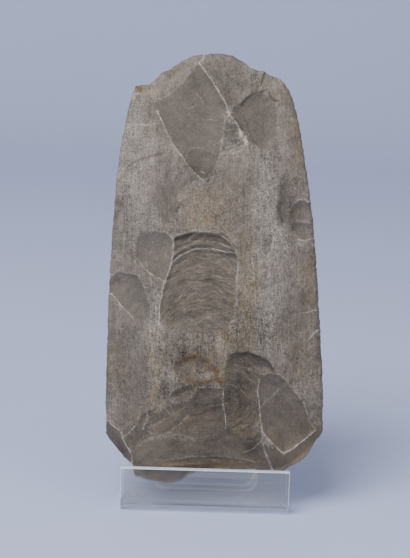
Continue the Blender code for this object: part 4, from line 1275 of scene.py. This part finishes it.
class Finish(Bench):
    """A material under construction."""

    def __init__(self, name, **surface):
        self.material = bpy.data.materials.new(name)
        self.material.use_nodes = True
        super().__init__(self.material.node_tree)
        self.surface = self.tree.nodes["Principled BSDF"]
        for key, value in surface.items():
            self.surface.inputs[key.replace("_", " ")].default_value = value

    def attribute(self, name, output="Fac"):
        return self.make("ShaderNodeAttribute", {"attribute_name": name}, output)

    def vector(self, operation, first, second):
        """Sum or product of two places, or of a place and plain numbers."""
        places = enumerate((first, second))
        return self.make("ShaderNodeVectorMath", {"operation": operation}, 0, places)

    def stretched(self, place, stretch):
        return self.vector("MULTIPLY", place, stretch)

    def placed(self, x, y):
        return self.make("ShaderNodeCombineXYZ", {}, "Vector", X=x, Y=y)

    def noise(self, place, scale, detail=3.0, roughness=0.55):
        return self.make(
            "ShaderNodeTexNoise", {"noise_dimensions": "3D"}, "Fac",
            Vector=place, Scale=scale, Detail=detail, Roughness=roughness,
        )

    def mixed(self, share, first, second, how="MIX"):
        """The first colour with a share of the second laid over it."""
        colours = {"data_type": "RGBA", "blend_type": how}
        return self.make("ShaderNodeMix", colours, 2, {0: share, 6: first, 7: second})


def linear(red, green, blue):
    """Colour as the eye sees it, 0 to 255, turned into light values."""
    return tuple(((c / 255 + 0.055) / 1.055) ** 2.4 for c in (red, green, blue)) + (1.0,)


class StoneFinish(Finish):
    """Ground and flaked stone: noise in mm, steered by the fields that the mesh carries."""

    def __init__(self):
        super().__init__("stone", Specular_IOR_Level=0.35)
        place = self.attribute("place", "Vector")
        self.scar = self.attribute("scar").clipped()
        self.ground = 1.0 - self.scar
        self.grain = self.noise(place, 1.75, 3.0, 0.7)
        self.coarse = self.noise(place, 0.42, 4.0, 0.62)
        self.cloud = self.noise(place, 0.10, 3.0)
        self.streak = self.noise(self.stretched(place, (1.5, 1.5, 0.07)), 1.0, 3.0, 0.6)
        self.broad = self.noise(self.stretched(place, (0.30, 0.30, 0.025)), 1.0, 2.0)
        along, across = self.attribute("flow_along"), self.attribute("flow_across")
        self.flow = self.attribute("flow_share")
        self.hairs = self.noise(self.placed(along * 0.30, across * 1.8), 1.0, 3.0, 0.62)
        self.bands = self.noise(self.placed(along * 0.055, across * 0.5), 1.0, 2.0, 0.5)
        self.patchy = self.noise(place, 0.75, 3.0, 0.6)
        self.broken = self.noise(place, 1.25, 2.0, 0.6)
        self.crackle = self.cell_borders(place)
        self.crumbs = self.grain.rising(0.36, 0.60)
        self.drift = self.grain.centred() * 1.6
        self.film = self.pale_film()

    def cell_borders(self, place):
        """Net of fine cracks round uneven cells."""
        stray = self.make(
            "ShaderNodeTexNoise", {"noise_dimensions": "3D"}, "Color", Vector=place, Scale=0.8, Detail=2.0
        )
        strayed = self.stretched(self.vector("ADD", place, stray), (1.0, 1.0, 0.62))
        cells = self.make(
            "ShaderNodeTexVoronoi", {"feature": "DISTANCE_TO_EDGE"}, "Distance", Vector=strayed, Scale=1.35
        )
        return 1.0 - cells.rising(0.03, 0.24)

    def pale_film(self):
        """How much of the pale film lies on the stone, and of the pale patch painted as a highlight at the
        tip.
        """
        film = self.attribute("pale") * 0.9 + self.coarse.rising(0.40, 0.66) * 0.20
        return (film + self.cloud.rising(0.4, 0.65) * 0.2).clipped()

    def shade(self):
        """How light the stone is, 1 being its plain colour; with the grain and streaks it holds painted
        shade in the fine relief's hollows, along the shadow lines and, in part, over the lower half.
        """
        scar, ground = self.scar, self.ground
        light = 1.0 + self.grain.centred() * (1.3 + ground * 0.2)
        light += self.coarse.centred() * (0.40 + ground * 0.35) + self.cloud.centred() * 0.4
        light += self.streak.centred() * ground * 0.65 + self.broad.centred() * ground * 0.5
        light += (self.hairs.centred() * 1.15 + self.bands.centred() * scar * 0.9) * self.flow
        # The relief term is painted shade: darker in the fine relief's hollows, lighter on its crests.
        light += self.attribute("tone") * 2.2 + self.attribute("relief") * 0.16
        pits = 1.0 - self.grain.rising(0.36, 0.46)
        light -= pits * ground * (0.05 + self.film * 0.25)
        # Darker along the drawn dark lines: cracks and scratches, and painted shadow lines under scar edges
        # and along the bottom edge.
        groove = (self.attribute("dark_side") + self.drift).near(0.3, 1.5)
        dark = self.attribute("dark") * groove * (0.6 + self.coarse * 0.6)
        return light * (1.0 - dark.clipped() * 0.55)

    def warm_share(self):
        """Tan and cream bands, in streaks."""
        return self.attribute("warm") * (0.25 + self.streak.rising(0.36, 0.64) * 1.1)

    def speckle_share(self):
        """Pale specks, cracks and hairs where the film lies, most of them on ground stone."""
        specks = self.grain.rising(0.50, 0.62) * 0.32 + self.crackle * 0.36
        specks += self.hairs.rising(0.45, 0.6) * 0.22
        return specks * self.film * (self.ground * 0.85 + 0.15)

    def thread_share(self):
        """Pale threads in the scars whose streaks run strongest."""
        return self.hairs.rising(0.53, 0.66) * (self.flow - 0.6) * self.scar * 0.4

    def rust_shares(self):
        """Tan halo, burnt ring and rust-brown core along the drawn rust lines."""
        rust = self.attribute("rust")
        aside = self.attribute("rust_side") + self.patchy.centred() * 2.2
        halo = rust * aside.near(0.5, 3.2) * (0.3 + self.patchy.rising(0.4, 0.6) * 0.3)
        burnt = rust * (aside - 0.3).near(0.3, 1.5) * (0.35 + self.broken.rising(0.40, 0.56) * 0.55)
        core = (aside + 0.25).near(0.1, 1.1)
        return halo, burnt, rust * rust * core * (0.15 + self.broken.rising(0.44, 0.58) * 0.8)

    def ridge_share(self):
        """Pale crumbly lines on ridges, cracks and worn rims, and the painted highlight along the left rim.
        """
        strong = self.attribute("bright")
        line = ((self.attribute("bright_side") + self.drift) * (0.45 + self.patchy * 1.1)).near(0.45, 1.35)
        broken_up = 0.05 + strong * 0.25 + self.coarse.rising(0.40, 0.58) * 0.42 + self.crumbs * 0.38
        return strong * line * broken_up + self.attribute("border") * self.crumbs

    def colour(self):
        """The stone's colours laid over each other, then shaded."""
        halo, burnt, core = self.rust_shares()
        colour = linear(*GROUND_STONE)
        for share, layer in (
            (self.scar, SCARRED_STONE), (self.warm_share(), TAN_STONE), (self.speckle_share(), PALE_STONE),
            (self.thread_share(), PALE_STONE), (halo, TAN_STONE), (burnt, BURNT_STONE),
            (core, RUST_STONE), (self.ridge_share(), RIDGE_STONE),
        ):
            colour = self.mixed(share.clipped(), colour, linear(*layer))
        shade = self.shade()
        grey = self.make("ShaderNodeCombineColor", {}, "Color", Red=shade, Green=shade, Blue=shade)
        return self.mixed(1.0, colour, grey, "MULTIPLY")

    def relief(self):
        """Height of the grain, streaks, cracks and hairs."""
        scar, ground = self.scar, self.ground
        relief = self.grain * (0.8 + ground * 0.7) + self.streak * ground * 0.9 + self.coarse * 0.4
        return relief + self.crackle * ground * 0.25 + self.hairs * scar * 1.2


def stone_finish():
    stone = StoneFinish()
    stone.put(stone.surface.inputs["Base Color"], stone.colour())
    roughness = 0.78 - stone.scar * 0.14 + stone.grain.centred() * 0.2
    stone.put(stone.surface.inputs["Roughness"], roughness)
    bump = stone.make(
        "ShaderNodeBump", {}, "Normal", Height=stone.relief(), Strength=0.6, Distance=0.00025
    )
    stone.put(stone.surface.inputs["Normal"], bump)
    return stone.material


def clear_finish(name, tint, roughness, share, clearness):
    """Clear plastic: a share of the light is bent or caught, the rest goes straight through."""
    return Finish(
        name, Base_Color=tint, Roughness=roughness, IOR=CLEAR_IOR, Transmission_Weight=clearness, Alpha=share
    ).material


# What the bent sheet's node tree asks for.
SHEET_INPUTS = {
    "Path": "Geometry", "Thickness": "Float", "Bend Steps": "Int", "Face": "Material", "Rim": "Material",
}


def sheet_tree():
    """Sheet of even thickness that follows a path, bent and as wide as the path's points say."""
    tree = bpy.data.node_groups.new("bent_sheet", "GeometryNodeTree")
    for name, kind in SHEET_INPUTS.items():
        tree.interface.new_socket(name, in_out="INPUT", socket_type="NodeSocket" + kind)
    tree.interface.new_socket("Sheet", in_out="OUTPUT", socket_type="NodeSocketGeometry")
    bench = Bench(tree)
    given = bench.make("NodeGroupInput", {}, None)
    number = {"data_type": "FLOAT"}
    radius, half_width = (
        bench.make("GeometryNodeInputNamedAttribute", number, "Attribute", Name=name)
        for name in ("bend_radius", "half_width")
    )
    line = bench.make("GeometryNodeMeshToCurve", {}, "Curve", Mesh=given["Path"])
    line = bench.make(
        "GeometryNodeFilletCurve", {"mode": "POLY"}, "Curve",
        Curve=line, Count=given["Bend Steps"], Radius=radius,
    )
    line = bench.make(
        "GeometryNodeSetCurveNormal", {"mode": "FREE"}, "Curve", Curve=line, Normal=(1.0, 0.0, 0.0)
    )
    rod = bench.make(
        "GeometryNodeCurvePrimitiveLine", {}, "Curve", Start=(-1.0, 0.0, 0.0), End=(1.0, 0.0, 0.0)
    )
    ribbon = bench.make("GeometryNodeCurveToMesh", {}, "Mesh", Curve=line, Profile_Curve=rod)
    place = bench.make("GeometryNodeInputPosition", {}, "Position")
    axis = bench.make("ShaderNodeSeparateXYZ", {}, None, Vector=place)
    wide = bench.make(
        "ShaderNodeCombineXYZ", {}, "Vector", X=axis["X"] * half_width, Y=axis["Y"], Z=axis["Z"]
    )
    ribbon = bench.make("GeometryNodeSetPosition", {}, "Geometry", Geometry=ribbon, Position=wide)
    out = bench.make("GeometryNodeInputNormal", {}, "Normal")
    inward = bench.make(
        "ShaderNodeVectorMath", {"operation": "SCALE"}, "Vector", Vector=out, Scale=given["Thickness"] * -0.5
    )
    ribbon = bench.make("GeometryNodeSetPosition", {}, "Geometry", Geometry=ribbon, Offset=inward)
    outer = bench.make(
        "GeometryNodeExtrudeMesh", {}, None, Mesh=ribbon, Offset_Scale=given["Thickness"], Individual=False
    )
    inner = bench.make("GeometryNodeFlipFaces", {}, "Mesh", Mesh=ribbon)
    closed = bench.make("GeometryNodeJoinGeometry", {}, "Geometry", Geometry=[outer["Mesh"], inner])
    closed = bench.make("GeometryNodeMergeByDistance", {}, "Geometry", Geometry=closed, Distance=1e-5)
    closed = bench.make("GeometryNodeRealizeInstances", {}, "Geometry", Geometry=closed)
    closed = bench.make("GeometryNodeSetMaterial", {}, "Geometry", Geometry=closed, Material=given["Face"])
    closed = bench.make(
        "GeometryNodeSetMaterial", {}, "Geometry",
        Geometry=closed, Selection=outer["Side"], Material=given["Rim"],
    )
    bench.make("NodeGroupOutput", {}, None, Sheet=closed)
    return tree


def finish_modifiers(piece):
    """Turns the piece and its modifiers into a plain mesh."""
    bpy.context.view_layer.update()
    evaluated = piece.evaluated_get(bpy.context.evaluated_depsgraph_get())
    finished = bpy.data.meshes.new_from_object(evaluated)
    piece.modifiers.clear()
    piece.data = finished


def bent_sheet(name, path, radii, widths, face, rim):
    """The sheet along a side-view path, cut level with the ground."""
    mesh = bpy.data.meshes.new(name)
    mesh.from_pydata([(0.0, y, z) for y, z in path], [(k, k + 1) for k in range(len(path) - 1)], [])
    mesh.attributes.new("bend_radius", "FLOAT", "POINT").data.foreach_set("value", [0.0, *radii, 0.0])
    mesh.attributes.new("half_width", "FLOAT", "POINT").data.foreach_set("value", [w / 2 for w in widths])
    sheet = bpy.data.objects.new(name, mesh)
    bpy.context.scene.collection.objects.link(sheet)
    tree = sheet_tree()
    socket = {item.name: item.identifier for item in tree.interface.items_tree if item.in_out == "INPUT"}
    values = {"Thickness": SHEET, "Bend Steps": BEND_STEPS, "Face": face, "Rim": rim}
    modifier = sheet.modifiers.new("bent_sheet", "NODES")
    modifier.node_group = tree
    for key, value in values.items():
        modifier[socket[key]] = value
    finish_modifiers(sheet)
    work = bmesh.new()
    work.from_mesh(sheet.data)
    every = work.verts[:] + work.edges[:] + work.faces[:]
    bmesh.ops.bisect_plane(work, geom=every, plane_co=(0, 0, 0), plane_no=(0, 0, -1), clear_outer=True)
    bmesh.ops.holes_fill(work, edges=[edge for edge in work.edges if edge.is_boundary])
    into_mesh(work, sheet.data)
    return sheet


def window_cutter(foot, lean, top):
    """Block with round corners that opens the easel's back plate."""
    low = (WINDOW_SILL - foot[1]) / math.cos(lean)
    high = (top - WINDOW_MARGIN - foot[1]) / math.cos(lean)
    corners = []
    for side, up, start in ((1, 1, 0), (-1, 1, 90), (-1, -1, 180), (1, -1, 270)):
        x = side * (WINDOW_WIDTH / 2 - WINDOW_CORNER)
        z = (high if up > 0 else low) - up * WINDOW_CORNER
        for turn in range(start, start + 91, CORNER_STEP_DEG):
            a = math.radians(turn)
            corners.append((x + WINDOW_CORNER * math.cos(a), z + WINDOW_CORNER * math.sin(a)))
    verts = []
    for depth in (-1.5 * SHEET, 1.5 * SHEET):
        for x, z in corners:
            y = foot[0] + z * math.sin(lean) + depth * math.cos(lean)
            verts.append((x, y, foot[1] + z * math.cos(lean) - depth * math.sin(lean)))
    n = len(corners)
    faces = [tuple(range(n)), tuple(range(2 * n - 1, n - 1, -1))]
    faces += [(k, k + n, (k + 1) % n + n, (k + 1) % n) for k in range(n)]
    return new_object("window", verts, faces, smooth=False)


def open_window(easel, foot, lean, window_glint):
    """Cuts the window out of the back plate; its cut faces take the opaque white finish, a painted highlight
    for the light that the window's walls catch.
    """
    cutter = window_cutter(foot, lean, PLATE_HEIGHT)
    cutter.data.materials.append(window_glint)
    boolean = easel.modifiers.new("window", "BOOLEAN")
    boolean.operation = "DIFFERENCE"
    boolean.solver = "EXACT"
    boolean.material_mode = "TRANSFER"
    boolean.object = cutter
    finish_modifiers(easel)
    bpy.data.objects.remove(cutter)


def in_window(place, foot):
    """Whether the middle of an edge lies on the window's border."""
    beside = abs(place.x) < WINDOW_WIDTH / 2 + WINDOW_SPARE
    above = FLOOR_SPARE < place.z < PLATE_HEIGHT - WINDOW_MARGIN + SHEET
    return beside and above and place.y > foot[0] - SHEET


def ease_edges(piece, foot):
    """Broad eased edges round the window, narrow ones at the cut ends, as bevel weights; the bevel faces
    take the opaque white window finish, a painted highlight.
    """
    work = bmesh.new()
    work.from_mesh(piece.data)
    name = "bevel_weight_edge"
    weight = work.edges.layers.float.get(name) or work.edges.layers.float.new(name)
    for edge in work.edges:
        if edge.calc_face_angle(0.0) >= math.radians(EASED_FROM_DEG):
            middle = (edge.verts[0].co + edge.verts[1].co) / 2
            edge[weight] = 1.0 if in_window(middle, foot) else CUT_END_SHARE
    work.to_mesh(piece.data)
    work.free()
    bevel = piece.modifiers.new("eased", "BEVEL")
    bevel.width = EASED_EDGE
    bevel.segments = 2
    bevel.limit_method = "WEIGHT"
    bevel.material = len(piece.data.materials) - 1
    finish_modifiers(piece)


def order_finishes(piece, finishes):
    """Gives the piece just these finishes, in this order, each face keeping its own."""
    order = [finishes.index(m) if m in finishes else 0 for m in piece.data.materials]
    chosen = [order[face.material_index] for face in piece.data.polygons]
    piece.data.materials.clear()
    for finish in finishes:
        piece.data.materials.append(finish)
    piece.data.polygons.foreach_set("material_index", chosen)
    piece.data.polygons.foreach_set("use_smooth", [True] * len(chosen))
    piece.data.set_sharp_from_angle(angle=math.radians(SHARP_DEG))


def easel_path(front, rear, lean):
    """Side-view corners of the sheet, fitted between the solid easel's front and rear."""
    leg_angle = math.radians(LEG_ANGLE_DEG)
    plate_run = (PLATE_HEIGHT - SHEET / 2) * math.tan(lean)
    leg_run = PLATE_HEIGHT * math.tan(leg_angle)
    leg_foot = SHEET / 2 / math.cos(leg_angle)
    lip = front + SHEET / 2
    channel = rear - leg_foot - lip - plate_run - leg_run
    foot = np.array([lip + channel, SHEET / 2])
    top = np.array([foot[0] + plate_run, PLATE_HEIGHT])
    leg = top + np.array([leg_run, -PLATE_HEIGHT]) * (1 + 2 * SHEET / PLATE_HEIGHT)
    return [(lip, LIP_HEIGHT), (lip, SHEET / 2), foot, top, leg]


def build_easel():
    """The clear bent sheet, as deep as the solid easel and centred across it."""
    low, high = box_of("easel")
    lean = math.radians(LEAN_DEG)
    path = easel_path(low[1], high[1], lean)
    foot = path[2]
    widths = (LIP_WIDTH, LIP_WIDTH, PLATE_WIDTH, PLATE_WIDTH, PLATE_WIDTH)
    radii = (BEND_RADIUS, BEND_RADIUS, TOP_BEND_RADIUS)
    finishes = [clear_finish(name, *look) for name, look in PLASTICS.items()]
    clear, rim_glint, window_glint = finishes
    easel = bent_sheet("clear_easel", path, radii, widths, clear, rim_glint)
    open_window(easel, foot, lean, window_glint)
    ease_edges(easel, foot)
    points = vertices_of(easel)
    points[:, 0] += (low[0] + high[0]) / 2
    easel.data.vertices.foreach_set("co", points.reshape(-1))
    order_finishes(easel, finishes)
    return easel


def build_sweep():
    """Pale floor that curves up into the wall behind."""
    profile = [(SWEEP_FRONT, 0.0)]
    for k in range(SWEEP_STEPS + 1):
        a = math.radians(90 * k / SWEEP_STEPS)
        profile.append((SWEEP_BEND + SWEEP_RADIUS * math.sin(a), SWEEP_RADIUS - SWEEP_RADIUS * math.cos(a)))
    profile.append((SWEEP_BEND + SWEEP_RADIUS, SWEEP_HEIGHT))
    verts = [(x, y, z - SWEEP_DROP) for y, z in profile for x in (-SWEEP_HALF_WIDTH, SWEEP_HALF_WIDTH)]
    faces = [(2 * k, 2 * k + 1, 2 * k + 3, 2 * k + 2) for k in range(len(profile) - 1)]
    sweep = new_object("sweep", verts, faces)
    finish = Finish("sweep", Base_Color=linear(*SWEEP_COLOUR), Roughness=0.9, Specular_IOR_Level=0.1)
    sweep.data.materials.append(finish.material)
    return sweep


def add_light(name, place, size, power):
    """A round soft light that aims at the axe's middle."""
    lamp = bpy.data.lights.new(name, "AREA")
    lamp.shape = "DISK"
    lamp.size = size
    lamp.energy = power
    lamp.color = LIGHT_COLOUR
    holder = bpy.data.objects.new(name, lamp)
    holder.location = place
    holder.rotation_euler = (Vector(LIGHT_AIM) - Vector(place)).to_track_quat("-Z", "Y").to_euler()
    bpy.context.scene.collection.objects.link(holder)


def light_room():
    """Even light from all round."""
    world = bpy.data.worlds.new("world")
    world.use_nodes = True
    background = world.node_tree.nodes["Background"]
    background.inputs["Color"].default_value = ROOM_COLOUR
    background.inputs["Strength"].default_value = ROOM_LIGHT
    bpy.context.scene.world = world


def add_camera(shift):
    """Looks square at the axe's worked face, turned with it."""
    right, back, up = (upright_to_row(np.array([axis], float))[0] for axis in np.eye(3))
    centre = on_face((PICTURE[0] / 2, PICTURE[1] / 2)) / 1000
    target = shift + right * centre[0] + up * centre[1]
    lens = bpy.data.cameras.new("camera")
    lens.sensor_fit = "VERTICAL"
    lens.sensor_height = SENSOR_HEIGHT
    lens.lens = SENSOR_HEIGHT * VIEW_DISTANCE / VIEW_HEIGHT
    camera = bpy.data.objects.new("camera", lens)
    turn = Matrix([right, up, -back]).transposed().to_4x4()
    camera.matrix_world = Matrix.Translation(Vector(target - back * VIEW_DISTANCE)) @ turn
    bpy.context.scene.collection.objects.link(camera)
    bpy.context.scene.camera = camera


axe, shift = build_axe()
axe.data.materials.append(stone_finish())
easel = build_easel()
for piece, node, slot in ((axe, "axe", "stone"), (easel, "easel", "clear_sheet")):
    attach(piece, "root")
    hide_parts(node)

build_sweep()
add_camera(shift)
for name, (place, size, power) in LIGHTS.items():
    add_light(name, place, size, power)
light_room()
